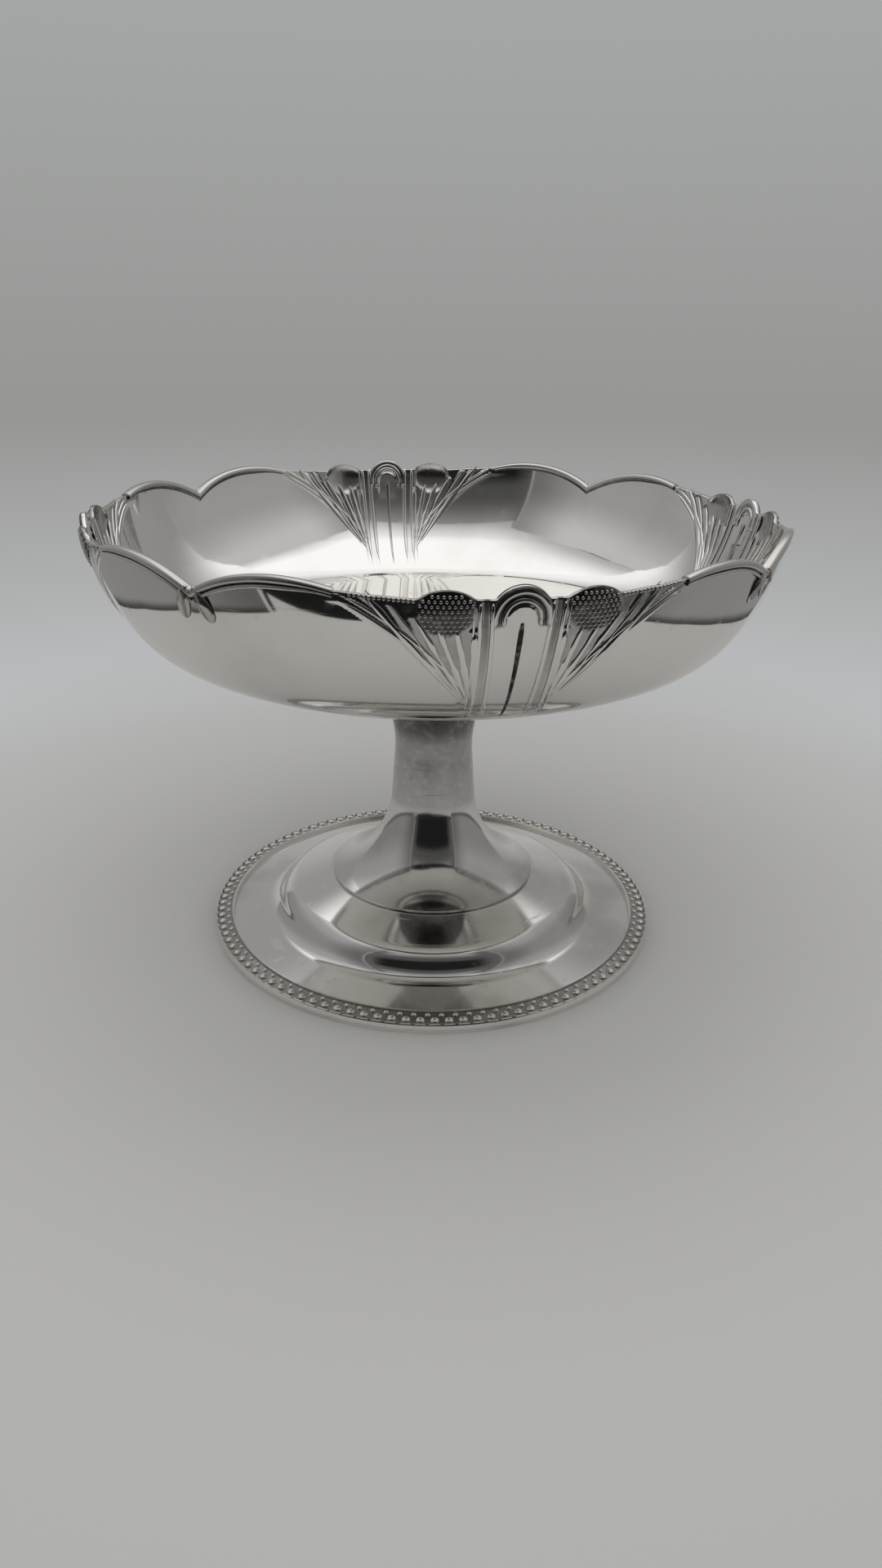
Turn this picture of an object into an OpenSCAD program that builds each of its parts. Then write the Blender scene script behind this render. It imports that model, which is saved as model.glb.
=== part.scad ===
// Footed compote bowl: a stamped bowl with four arched panels in its rim, standing on a hollow
// spun stem and a stepped foot, and held together by a rod through the stem.
// Origin: centre of the foot on the table. +Z up. One panel faces -Y.

/* [Overall] */
// Diameter of the bowl at the tips of its arches
rim_d = 230; // [215:1:250]
// Height from the table to the crests of the rim
overall_h = 155; // [150:1:180]
// Diameter of the foot over its border
foot_d = 166.4; // [150:0.2:190]

/* [Bowl] */
// Thickness of the bowl's sheet
bowl_wall = 1.4; // [1.2:0.1:2]
// Radius of the turn between the bowl's floor and its wall
corner_r = 33; // [28:1:38]
// Radius of the slight curve up the bowl's wall
collar_r = 72; // [64:1:84]
// Slope of the floor where the turn begins, in degrees
floor_slope = 14; // [12:0.5:16]
// Slope of the wall where the turn ends, in degrees
corner_slope = 57; // [54:1:62]
// Slope of the wall at the tips of the arches, in degrees
rim_slope = 84; // [82:0.5:86]

/* [Rim outline] */
// Radius of each panel's arch
arch_r = 8.3; // [7.6:0.1:9]
// Depth of the arch's tip below the crests
arch_drop = 0.5; // [0.2:0.1:2]
// Radius of the domed hood on each side of the arch
hood_r = 11.5; // [9:0.5:14]
// Distance of a hood's centre from the panel's centre line
hood_x = 19.1; // [18.6:0.1:20]
// Depth of a hood's tip below the crests
hood_drop = 1.5; // [0.8:0.1:2.2]
// Depth of the pilasters' tops below the crests
shoulder_drop = 4; // [3.4:0.1:4.6]
// Depth of the notches between the lobes below the crests
notch_drop = 7; // [6.2:0.1:7.8]

/* [Panel relief] */
// Height of the leaf fans above the sheet
fan_relief = 0.4; // [0.3:0.05:0.5]
// Height of the arches, pilasters, hoods and ridges above the sheet
high_relief = 0.8; // [0.7:0.05:1.1]
// Width of one reed of a pilaster
reed_w = 1.3; // [1:0.1:1.6]
// Gap between the two reeds of a pilaster
reed_gap = 1.1; // [0.8:0.1:1.4]
// Distance of a pilaster's centre from the panel's centre line, at the top
pilaster_x = 9.5; // [9.3:0.1:9.8]
// Width of each of the arch's two mouldings
moulding_w = 1.5; // [1.2:0.1:1.8]
// Groove between the arch's two mouldings
moulding_gap = 0.9; // [0.6:0.1:1.2]
// Width of the centre rib, a groove in the outer face
rib_w = 1.6; // [1.2:0.1:2]
// Depth of the centre rib
rib_depth = 0.5; // [0.3:0.05:0.7]
// Radius of the ridge that bounds each leaf fan
ridge_r = 90; // [75:1:120]
// Width of each of the ridge's two reeds
ridge_w = 0.9; // [0.7:0.1:1.1]
// Greatest width of the slots between the leaves
slot_w = 1.1; // [0.8:0.1:1.4]

/* [Rim borders] */
// Width of the scroll moulding along a lobe
border_w = 3.6; // [3:0.1:4.2]
// Height of the scroll moulding above the edge of the sheet
border_cap = 1; // [0.8:0.1:1.3]
// How far the moulding stands out of the bowl
border_proud = 1.1; // [0.8:0.1:1.4]
// How far the moulding stands into the bowl
border_inset = 0.8; // [0.5:0.1:1.1]
// Length of a leaf tab in a notch
tab_l = 8.4; // [7:0.2:9]
// Radius of the two arcs that make a leaf tab
tab_r = 6; // [5.4:0.2:7]

/* [Stem] */
// Thickness of the stem's sheet
stem_wall = 1.2; // [0.8:0.1:1.6]
// Diameter of the stem's skirt on the foot
skirt_d = 76; // [72:0.5:76]
// Height of the skirt's edge above the foot
skirt_lip = 1; // [0.6:0.1:1]
// Radius of the flare above the skirt, as a share of the stem's height
flare_share = 0.42; // [0.39:0.005:0.43]
// Radius of the waist and of the mouth under the bowl, as a share of the stem's height
waist_share = 0.59; // [0.53:0.01:0.62]

/* [Foot] */
// Thickness of the foot's sheet
foot_wall = 1.2; // [0.8:0.1:1.4]
// Diameter of the foot's sheet under the border
sheet_d = 164.8; // [148:0.2:165.2]
// Height of the sheet's top face at its edge
edge_z = 2.6; // [2.4:0.1:4]
// Diameter where the flange meets the dome
dome_d = 121; // [112:1:126]
// Radius of the fillet between the flange and the dome
dome_fillet_r = 4; // [3:0.5:6]
// Length of the dome's straight riser
riser_l = 2; // [1:0.5:4]
// Radius of the dome's shoulder
shoulder_r = 9; // [7:0.5:10]
// Diameter of the edge of the stem's seat
seat_d = 78.8; // [78.8:0.2:82]

/* [Foot border] */
// Width of the beaded border
band_w = 6.7; // [6.4:0.1:7.4]
// Thickness of the border at its inner edge
band_t = 1.1; // [0.9:0.1:1.4]
// Distance from one bead to the next
bead_pitch = 4.7; // [4.3:0.1:6]
// Diameter of the beads of the main row
bead_d = 3; // [2.4:0.1:3.1]
// Height of the main row's beads above the border
bead_h = 0.9; // [0.6:0.1:1.1]
// Diameter of the small beads of the inner row
small_bead_d = 1.9; // [1.5:0.1:2]
// Height of the small beads
small_bead_h = 0.6; // [0.4:0.05:0.7]
// Width of the plain fillets at the border's edges
fillet_w = 0.8; // [0.6:0.1:1]
// Height of the plain fillets
fillet_h = 0.5; // [0.3:0.1:0.7]
// Width of the base ring that stands on the table
base_w = 4; // [3:0.2:6]

/* [Fastening] */
// Diameter of the rod through the stem
rod_d = 6; // [5:0.5:8]
// Radial gap round the rod's threads
thread_gap = 0.1; // [0.05:0.05:0.15]
// Radial gap round the rod in the foot and the washers
rod_gap = 0.3; // [0.2:0.1:0.5]
// Gap between the boss under the bowl and the stem round it
boss_gap = 1.3; // [1:0.1:4]
// Height of the boss
boss_h = 6; // [5:0.5:8]
// Metal left above the rod's hole in the boss
boss_skin = 1.5; // [1:0.1:2]
// Diameter of the clamping disc inside the foot
disc_d = 48; // [36:1:60]
// Thickness of the clamping disc
disc_t = 2; // [1.5:0.1:2.5]
// Diameter of the washer
washer_d = 12.5; // [12:0.5:18]
// Thickness of the washer
washer_t = 1.2; // [0.8:0.1:1.6]
// Width of the nut across its flats
nut_w = 10; // [10:0.5:14]
// Height of the nut
nut_h = 5; // [4:0.1:6]
// Length of rod that shows below the nut
rod_tail = 1.5; // [1:0.1:2.5]

/* [Hidden] */
$fn = 96;
panels = 4;
// Overrun of every cut, and the clearance between pieces that are soldered together
overrun = 1;
solder_gap = 0.05;
// Largest turn between two points of a round stretch, in degrees
arc_step = 6;

// Rim angles from a panel's centre line, in degrees: start of a lobe's border, crest of the lobe, notch
border_a = 23.75;
lobe_a = 31.5;
notch_a = 180 / panels;
// Slope of the rim between the hoods and the lobes
ramp_slope = 4;

// Bowl: radii, heights and the slope at which the sheet clears the crests
rim_r = rim_d / 2;
arch_tip_z = overall_h - arch_drop;
corner_run = corner_r * (sin(corner_slope) - sin(floor_slope));
collar_run = collar_r * (sin(rim_slope) - sin(corner_slope));
floor_r = (rim_r - corner_run - collar_run) / sin(floor_slope);
corner_rise = corner_r * (cos(floor_slope) - cos(corner_slope));
collar_rise = collar_r * (cos(corner_slope) - cos(rim_slope));
collar_z = arch_tip_z - collar_rise;
floor_z = collar_z - corner_rise - floor_r * (1 - cos(floor_slope));
brim_slope = acos(cos(corner_slope) - (overall_h + overrun - collar_z) / collar_r);
bowl_moves = [
    [floor_r, floor_slope],
    [corner_r, corner_slope - floor_slope],
    [collar_r, brim_slope - corner_slope]
];

// Panels: heights along the rim
arch_z = arch_tip_z - arch_r;
hood_z = overall_h - hood_drop - hood_r;
shoulder_z = overall_h - shoulder_drop;
notch_z = overall_h - notch_drop;
panel_x = rim_r * sin(border_a);
hood_half_w = sqrt(hood_r ^ 2 - (shoulder_z - hood_z) ^ 2);
ramp_x = hood_x + hood_half_w - overrun;

// Lobes, in a view onto a notch: arcs from the crests that meet in the notch
lobe_x = rim_r * sin(notch_a - lobe_a);
lobe_r = (lobe_x ^ 2 + notch_drop ^ 2) / (2 * notch_drop);
lobe_z = overall_h - lobe_r;
border_x = rim_r * sin(notch_a - border_a);

// Relief: where the pilasters end, the fans spring and the hoods stop
relief_foot_z = floor_z + floor_r * (1 - cos(floor_slope)) + corner_rise / 4;
pilaster_w = 2 * reed_w + reed_gap;
pilaster_out_x = pilaster_x + pilaster_w / 2;
pilaster_taper_share = 0.8;
fan_foot_share = 0.45;
fan_foot = [pilaster_x, relief_foot_z + (collar_z - relief_foot_z) * fan_foot_share];
fan_top = [panel_x, shoulder_z];
hood_foot_z = arch_z - moulding_w - moulding_gap;
hood_gap = moulding_gap / 2;
slot_a = [80, 71, 63, 57, 53];
slot_from_shares = [0.3, 0.42, 0.32, 0.48, 0.6];
slot_to_shares = [0.5, 0.6, 0.5, 0.66, 0.8];
slot_peak_share = 0.4;

// Borders: how far the cap and the reeds stand out, as shares of the leaf tabs, and the tabs' tilt
cap_share = 0.9;
reed_share = 0.75;
bed_share = 0.45;
tab_tilt = 14;
tab_half_w = tab_r - sqrt(tab_r ^ 2 - (tab_l / 2) ^ 2);

// Foot: the flange, the dome and the seat of the stem
foot_r = foot_d / 2;
sheet_r = sheet_d / 2;
flange_slope = 6;
riser_slope = 70;
shoulder_slope = 17;
seat_bend_r = 2 * foot_wall;
flange_l = (sheet_r - dome_d / 2) / cos(flange_slope);
dome_edge_r = dome_d / 2 - dome_fillet_r * (sin(riser_slope) - sin(flange_slope))
    - riser_l * cos(riser_slope) - shoulder_r * (sin(riser_slope) - sin(shoulder_slope));
shoulder_l = (dome_edge_r - seat_d / 2) / cos(shoulder_slope);
foot_start = [sheet_r, edge_z];
rod_hole_r = rod_d / 2 + rod_gap;
foot_moves = [
    [flange_l, 0],
    [dome_fillet_r, flange_slope - riser_slope],
    [riser_l, 0],
    [shoulder_r, riser_slope - shoulder_slope],
    [shoulder_l, 0],
    [seat_bend_r, shoulder_slope]
];
seat_start = finish(foot_start, 180 - flange_slope, foot_moves);
seat_z = seat_start[1];
seat_l = seat_start[0] - rod_hole_r;

// Stem: the skirt, the flare, a short cone and the waist, which opens into the mouth
skirt_slope = 20;
cone_slope = 86;
mouth_slope = 48;
stem_overlap = 3 * overrun;
stem_start = [skirt_d / 2, seat_z + skirt_lip];
stem_h = floor_z + stem_overlap - stem_start[1];
flare_r = stem_h * flare_share;
waist_r = stem_h * waist_share;
flare_rise = flare_r * (cos(skirt_slope) - cos(cone_slope));
waist_rise = waist_r * (cos(mouth_slope) + cos(cone_slope));
cone_l = (stem_h - flare_rise - waist_rise) / sin(cone_slope);
cone_moves = [
    [flare_r, skirt_slope - cone_slope],
    [cone_l, 0]
];
stem_moves = concat(cone_moves, [[waist_r, mouth_slope + cone_slope - 180]]);
waist_start = finish(stem_start, 180 - skirt_slope, cone_moves);
waist_c = waist_start + waist_r * [sin(cone_slope), cos(cone_slope)];

// Foot border: its section, and the rows of its beads
band_in_r = foot_r - band_w;
band_in_z = flange_z(band_in_r) + band_t;
band_out_z = flange_z(sheet_r) + band_t / 2;
band_tilt = atan((band_in_z - band_out_z) / band_w);
bead_row_r = foot_r - fillet_w - bead_d / 2 - 2 * solder_gap;
small_row_r = bead_row_r - bead_d / 2 - small_bead_d / 2;
beads = panels * round(2 * PI * bead_row_r / bead_pitch / panels);
base_out_r = foot_r - solder_gap;

// Fastening: the boss in the stem's mouth, and the stack under the seat
boss_z = floor_z - boss_h;
boss_r = waist_c[0] - sqrt((waist_r + stem_wall) ^ 2 - (boss_z - waist_c[1]) ^ 2) - boss_gap;
disc_z = seat_z - foot_wall - disc_t;
washer_z = disc_z - washer_t;
nut_z = washer_z - nut_h;
rod_end_z = nut_z - rod_tail;
rod_top_z = floor_z - boss_skin - thread_gap;
nut_flat_r = nut_w / 2 / cos(30);

// Point reached from p, heading h, by a straight of length r or by an arc of radius r that turns t
function reach(p, h, r, t) = t == 0 ? p + r * [cos(h), sin(h)]
    : p + r * sign(t) * [sin(h + t) - sin(h), cos(h) - cos(h + t)];

// Points of a path of straights and tangent arcs, each given as [length or radius, turn]
function trail(p, h, moves, i = 0) = i == len(moves) ? [p]
    : let (r = moves[i][0], t = moves[i][1], n = max(1, ceil(abs(t) / arc_step)))
    concat(
        [for (k = [0:n - 1]) k == 0 ? p : reach(p, h, r, t * k / n)],
        trail(reach(p, h, r, t), h + t, moves, i + 1)
    );

// Last point of such a path
function finish(p, h, moves, i = 0) = i == len(moves) ? p
    : finish(reach(p, h, moves[i][0], moves[i][1]), h + moves[i][1], moves, i + 1);

// The same path moved to its left by d
function left_of(p, h, moves, d) = trail(
    p + d * [-sin(h), cos(h)], h, [for (m = moves) [m[0] - d * sign(m[1]), m[1]]]
);

function backwards(points) = [for (k = [len(points) - 1:-1:0]) points[k]];

// Outline of a layer between distances a and b to the left of a path
function layer(p, h, moves, a, b) = concat(left_of(p, h, moves, a), backwards(left_of(p, h, moves, b)));

// Height of the flange's top face, and of its underside, at radius r
function flange_z(r) = edge_z + (sheet_r - r) * tan(flange_slope);
function flange_under_z(r) = flange_z(r) - foot_wall / cos(flange_slope);

// Height of the foot border's band at radius r
function band_z(r) = band_in_z - (r - band_in_r) * tan(band_tilt);

// Centre of the circle of radius r through p and q, on the right of the way from p to q
function arc_centre(p, q, r) = let (d = q - p, l = norm(d))
    (p + q) / 2 + [d[1], -d[0]] / l * sqrt(r ^ 2 - (l / 2) ^ 2);

module both_sides() {
    children();
    mirror([1, 0, 0]) children();
}

// Stands a flat drawing up as a front view and draws it out from the axis past the wall
module front_view(a) {
    rotate([0, 0, a]) rotate([90, 0, 0]) linear_extrude(rim_r + border_w) children();
}

// A layer of the bowl's wall: distances are measured inwards from the outer face
module bowl_layer(a, b) {
    rotate_extrude() polygon(layer([0, floor_z], 0, bowl_moves, a, b));
}

// The wall alone, from the turn up, for what is raised on it or let into it
module wall_layer(a, b) {
    p = finish([0, floor_z], 0, [bowl_moves[0]]);
    rotate_extrude() polygon(layer(p, floor_slope, [bowl_moves[1], bowl_moves[2]], a, b));
}

// The space that the bowl fills, as a flat half outline
module bowl_outline() {
    polygon(concat(trail([0, floor_z], 0, bowl_moves), [[0, overall_h + overrun]]));
}

// Space above the rim over a panel: an arch between two hoods, with a ramp outside each
module panel_cut() {
    end_x = panel_x + overrun;
    difference() {
        translate([-panel_x, shoulder_z]) square([2 * panel_x, shoulder_drop + 2 * overrun]);
        translate([0, arch_z]) circle(arch_r);
        both_sides() translate([hood_x, hood_z]) circle(hood_r);
        both_sides() polygon([
            [ramp_x, shoulder_z - overrun],
            [ramp_x, shoulder_z],
            [end_x, shoulder_z + (end_x - ramp_x) * tan(ramp_slope)],
            [end_x, shoulder_z - overrun]
        ]);
    }
}

// The two lobes beside a notch, drawn in by d
module lobe_discs(d) {
    both_sides() translate([lobe_x, lobe_z]) circle(lobe_r - d);
}

// Space above the sheet over the two lobes beside a notch
module lobes_cut() {
    end_x = border_x + overrun / 2;
    low_z = notch_z - 2 * border_cap;
    difference() {
        translate([-end_x, low_z]) square([2 * end_x, overall_h + 2 * overrun - low_z]);
        lobe_discs(border_cap);
    }
}

// One reed of a pilaster, narrowing downwards, between distances a and b from the centre line
module reed(a, b) {
    polygon([
        [a, overall_h],
        [b, overall_h],
        [b * pilaster_taper_share, relief_foot_z],
        [a * pilaster_taper_share, relief_foot_z]
    ]);
}

// Arch moulding: a half ring over the panel's field, between two radii
module arch_ring(a, b) {
    difference() {
        circle(b);
        circle(a);
        translate([-b - overrun, -b - overrun]) square([2 * (b + overrun), b + overrun]);
    }
}

// Field of a domed hood, which runs up past the rim's edge
module hood() {
    translate([pilaster_out_x + hood_gap, hood_foot_z])
        square([hood_x + hood_half_w - pilaster_out_x, overall_h - hood_foot_z]);
}

// Two reeds of the ridge along the outside of a leaf fan
module ridge() {
    c = arc_centre(fan_foot, fan_top, ridge_r);
    intersection() {
        translate(c) for (r = [ridge_r, ridge_r + 2 * ridge_w]) {
            difference() {
                circle(r + ridge_w / 2);
                circle(r - ridge_w / 2);
            }
        }
        translate([pilaster_out_x + hood_gap, fan_foot[1]])
            square([fan_top[0] - pilaster_out_x - 2 * hood_gap, overall_h - fan_foot[1]]);
    }
}

// Leaf fan: the field between the pilaster and the ridge, with slots between its leaves
module fan() {
    c = arc_centre(fan_foot, fan_top, ridge_r);
    reach_l = norm(fan_top - fan_foot);
    difference() {
        translate([pilaster_out_x, fan_foot[1]])
            square([fan_top[0] - pilaster_out_x - hood_gap, overall_h - fan_foot[1]]);
        translate(c) circle(ridge_r);
        for (k = [0:len(slot_a) - 1]) {
            l = reach_l * (slot_to_shares[k] - slot_from_shares[k]);
            peak_x = l * slot_peak_share;
            translate(fan_foot) rotate(slot_a[k]) translate([reach_l * slot_from_shares[k], 0])
                polygon([[0, 0], [peak_x, slot_w / 2], [l, 0], [peak_x, -slot_w / 2]]);
        }
    }
}

// All that stands high on a panel
module panel_high() {
    both_sides() {
        reed(pilaster_x - pilaster_w / 2, pilaster_x - reed_gap / 2);
        reed(pilaster_x + reed_gap / 2, pilaster_x + pilaster_w / 2);
        hood();
        ridge();
    }
    translate([0, arch_z]) {
        arch_ring(arch_r - moulding_w, arch_r + solder_gap);
        arch_ring(arch_r - 2 * moulding_w - moulding_gap, arch_r - moulding_w - moulding_gap);
    }
}

// Centre rib: a slot with a round head under the arch
module rib() {
    head_z = arch_z + rib_w / 2;
    translate([0, head_z]) circle(rib_w / 2);
    polygon([
        [-rib_w / 2, head_z],
        [rib_w / 2, head_z],
        [rib_w / 2 * pilaster_taper_share, relief_foot_z],
        [-rib_w / 2 * pilaster_taper_share, relief_foot_z]
    ]);
}

module bowl() {
    color("silver") difference() {
        union() {
            bowl_layer(0, bowl_wall);
            for (k = [0:panels - 1]) {
                intersection() {
                    wall_layer(-fan_relief, bowl_wall / 2);
                    front_view(360 / panels * k) both_sides() fan();
                }
                intersection() {
                    wall_layer(-high_relief, bowl_wall / 2);
                    front_view(360 / panels * k) panel_high();
                }
            }
        }
        for (k = [0:panels - 1]) {
            front_view(360 / panels * k) panel_cut();
            front_view(360 / panels * k + notch_a) lobes_cut();
            intersection() {
                wall_layer(-high_relief, rib_depth);
                front_view(360 / panels * k) rib();
            }
        }
    }
}

// Band along both lobes, from depth a to depth b below their arcs
module lobe_band(a, b) {
    end_x = border_x - solder_gap;
    low_z = notch_z - 2 * border_w;
    intersection() {
        difference() {
            lobe_discs(a);
            lobe_discs(b);
        }
        translate([-end_x, low_z]) square([2 * end_x, overall_h + overrun - low_z]);
    }
}

// Leaf tab: the lens between two arcs, hanging beside the notch
module tab() {
    translate([tab_half_w, notch_z + 2 * border_cap]) rotate(tab_tilt) translate([0, -tab_l / 2])
        intersection() {
            translate([tab_r - tab_half_w, 0]) circle(tab_r);
            translate([tab_half_w - tab_r, 0]) circle(tab_r);
        }
}

// Border of the two lobes beside a notch: a cap over the sheet's edge, two reeds outside it and one
// inside, and a pair of leaf tabs in the notch
module rim_border(k) {
    color("gainsboro") rotate([0, 0, 360 / panels * (k - 1) + notch_a]) {
        intersection() {
            wall_layer(-border_proud * cap_share, bowl_wall + border_inset);
            front_view(0) lobe_band(0, border_cap - solder_gap);
        }
        intersection() {
            wall_layer(-border_proud * reed_share, -solder_gap);
            front_view(0) {
                lobe_band(border_cap / 2, border_w / 2);
                lobe_band(border_w * 2 / 3, border_w);
            }
        }
        intersection() {
            wall_layer(-border_proud * bed_share, -solder_gap);
            front_view(0) lobe_band(border_cap * 2 / 3, border_w - border_cap / 2);
        }
        intersection() {
            wall_layer(bowl_wall + solder_gap, bowl_wall + border_inset * reed_share);
            front_view(0) lobe_band(border_cap / 3, border_w / 2);
        }
        intersection() {
            wall_layer(-border_proud, -solder_gap);
            front_view(0) both_sides() tab();
        }
    }
}

// Boss soldered under the bowl's floor, with a blind hole for the rod
module bowl_boss() {
    color("darkkhaki") rotate_extrude() difference() {
        translate([0, boss_z]) square([boss_r, boss_h + boss_skin]);
        bowl_outline();
        translate([0, boss_z - overrun])
            square([rod_d / 2 + thread_gap, boss_h + overrun - boss_skin]);
    }
}

module tie_rod() {
    color("dimgray") translate([0, 0, rod_end_z]) cylinder(d = rod_d, h = rod_top_z - rod_end_z);
}

// Spun stem, cut level where it stands on the foot and to the bowl's floor at its mouth
module stem() {
    color("silver") rotate_extrude() difference() {
        polygon(layer(stem_start, 180 - skirt_slope, stem_moves, 0, stem_wall));
        bowl_outline();
        translate([0, seat_z - stem_wall - overrun]) square([skirt_d, stem_wall + overrun]);
    }
}

module foot() {
    color("silver") rotate_extrude()
        polygon(layer(foot_start, 180 - flange_slope, concat(foot_moves, [[seat_l, 0]]), 0, foot_wall));
}

// Row of beads on the foot's border at radius r: each is the cap of a ball, sunk into the band
module bead_row(r, d, h, turn_share) {
    ball_r = (d ^ 2 / 4 + h ^ 2) / (2 * h);
    for (k = [0:beads - 1]) {
        rotate([0, 0, 360 / beads * (k + turn_share)])
            translate([r, 0, band_z(r)]) rotate([0, band_tilt, 0]) intersection() {
                translate([0, 0, h - ball_r]) sphere(ball_r, $fn = 24);
                translate([0, 0, -band_t / 3]) cylinder(r = ball_r + overrun, h = ball_r + overrun);
            }
    }
}

// Border round the foot: a sloping band with plain fillets, a skirt over the sheet's edge and two rows
// of beads
module foot_border() {
    color("gainsboro") {
        rotate_extrude() polygon([
            [band_in_r, flange_z(band_in_r)],
            [sheet_r + solder_gap, flange_z(sheet_r + solder_gap)],
            [sheet_r + solder_gap, flange_under_z(sheet_r)],
            [foot_r, flange_under_z(sheet_r)],
            [foot_r, band_z(foot_r) + fillet_h],
            [foot_r - fillet_w, band_z(foot_r - fillet_w) + fillet_h],
            [foot_r - fillet_w, band_z(foot_r - fillet_w)],
            [band_in_r + fillet_w, band_z(band_in_r + fillet_w)],
            [band_in_r + fillet_w, band_z(band_in_r + fillet_w) + fillet_h],
            [band_in_r, band_in_z + fillet_h]
        ]);
        bead_row(bead_row_r, bead_d, bead_h, 0);
        bead_row(small_row_r, small_bead_d, small_bead_h, 1 / 2);
    }
}

// Ring under the edge of the foot, flat on the table
module base_ring() {
    color("silver") rotate_extrude() polygon([
        [base_out_r - base_w, 0],
        [base_out_r, 0],
        [base_out_r, flange_under_z(base_out_r)],
        [base_out_r - base_w, flange_under_z(base_out_r - base_w)]
    ]);
}

// Plain ring round the rod
module ring(d, h) {
    difference() {
        cylinder(d = d, h = h);
        translate([0, 0, -overrun]) cylinder(r = rod_hole_r, h = h + 2 * overrun);
    }
}

module clamp_disc() {
    color("darkkhaki") translate([0, 0, disc_z]) ring(disc_d, disc_t);
}

module washer() {
    color("dimgray") translate([0, 0, washer_z]) ring(washer_d, washer_t);
}

module nut() {
    color("dimgray") translate([0, 0, nut_z]) difference() {
        cylinder(r = nut_flat_r, h = nut_h, $fn = 6);
        translate([0, 0, -overrun]) cylinder(r = rod_d / 2 + thread_gap, h = nut_h + 2 * overrun);
    }
}

bowl();
for (k = [1:panels]) {
    rim_border(k);
}
bowl_boss();
tie_rod();
stem();
foot();
foot_border();
base_ring();
clamp_disc();
washer();
nut();
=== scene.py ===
"""Footed compote bowl in polished silver plate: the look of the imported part, in metres."""
import logging
from dataclasses import dataclass
from enum import Enum
from math import acos, asin, atan, atan2, ceil, copysign, cos, degrees, hypot, pi, radians, sin, sqrt, tan, tau
from typing import Callable, Optional, Sequence

import bmesh
import bpy
from mathutils import Matrix, Vector


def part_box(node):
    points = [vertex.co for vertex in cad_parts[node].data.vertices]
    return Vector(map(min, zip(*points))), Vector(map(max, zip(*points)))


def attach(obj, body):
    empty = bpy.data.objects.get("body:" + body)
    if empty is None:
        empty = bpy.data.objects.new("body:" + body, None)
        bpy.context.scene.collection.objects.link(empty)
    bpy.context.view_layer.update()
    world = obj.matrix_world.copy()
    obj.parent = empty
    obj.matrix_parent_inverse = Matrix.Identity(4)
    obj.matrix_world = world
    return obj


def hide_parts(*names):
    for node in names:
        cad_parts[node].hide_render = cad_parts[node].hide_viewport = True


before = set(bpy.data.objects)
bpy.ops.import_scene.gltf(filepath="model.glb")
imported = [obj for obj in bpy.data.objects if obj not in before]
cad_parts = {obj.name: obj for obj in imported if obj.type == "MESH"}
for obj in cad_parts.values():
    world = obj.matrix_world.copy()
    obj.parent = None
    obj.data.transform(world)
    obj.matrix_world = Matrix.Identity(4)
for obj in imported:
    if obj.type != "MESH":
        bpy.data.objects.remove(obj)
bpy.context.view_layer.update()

LOG = logging.getLogger("compote")
MM = 0.001
PANELS = 4
FRONT = -pi / 2
MERGE = 1e-7
SEAM_MERGE = 2e-6
SPIN_STEPS = 240
RECESS = "recess"

Point = tuple[float, float]
Triple = tuple[float, float, float]
Mesh = bmesh.types.BMesh
Socket = bpy.types.NodeSocket
Curve = Callable[[float], float]


class Slot(Enum):
    """The record's material slots, one named with each visible piece."""

    PLATE = "silver_plate"
    TRIM = "silver_plate_trim"


def sind(angle: float) -> float:
    """Sine of an angle in degrees."""
    return sin(radians(angle))


def cosd(angle: float) -> float:
    """Cosine of an angle in degrees."""
    return cos(radians(angle))


def ease(low: float, high: float, value: float) -> float:
    """Share of a smooth step, from 0 at low to 1 at high, that is done at a value."""
    t = min(max((value - low) / (high - low), 0.0), 1.0)
    return t * t * (3 - 2 * t)


def mix(a: float, b: float, t: float) -> float:
    """Value at share t of the way from a to b."""
    return a + (b - a) * t


def climb(value: float, start: float, steps: Sequence[Triple]) -> float:
    """Level that eases from step to step.

    Args:
        value: value to find the level at.
        start: level before the first step.
        steps: start, end and new level of each step.

    Returns:
        The level.
    """
    for low, high, level in steps:
        start = mix(start, level, ease(low, high, value))
    return start


def roll(distance: float, half: float) -> float:
    """Height, as a share, of a rounded moulding at a distance from its middle."""
    return max(0.0, 1.0 - (distance / half) ** 2)


def shares(count: int) -> list[float]:
    """Evenly spaced shares from 0 to 1."""
    return [k / count for k in range(count + 1)]


@dataclass(frozen=True)
class Move:
    """One stretch of a spun profile: a straight, or an arc that turns to the left."""

    size: float
    turn: float = 0.0


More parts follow.
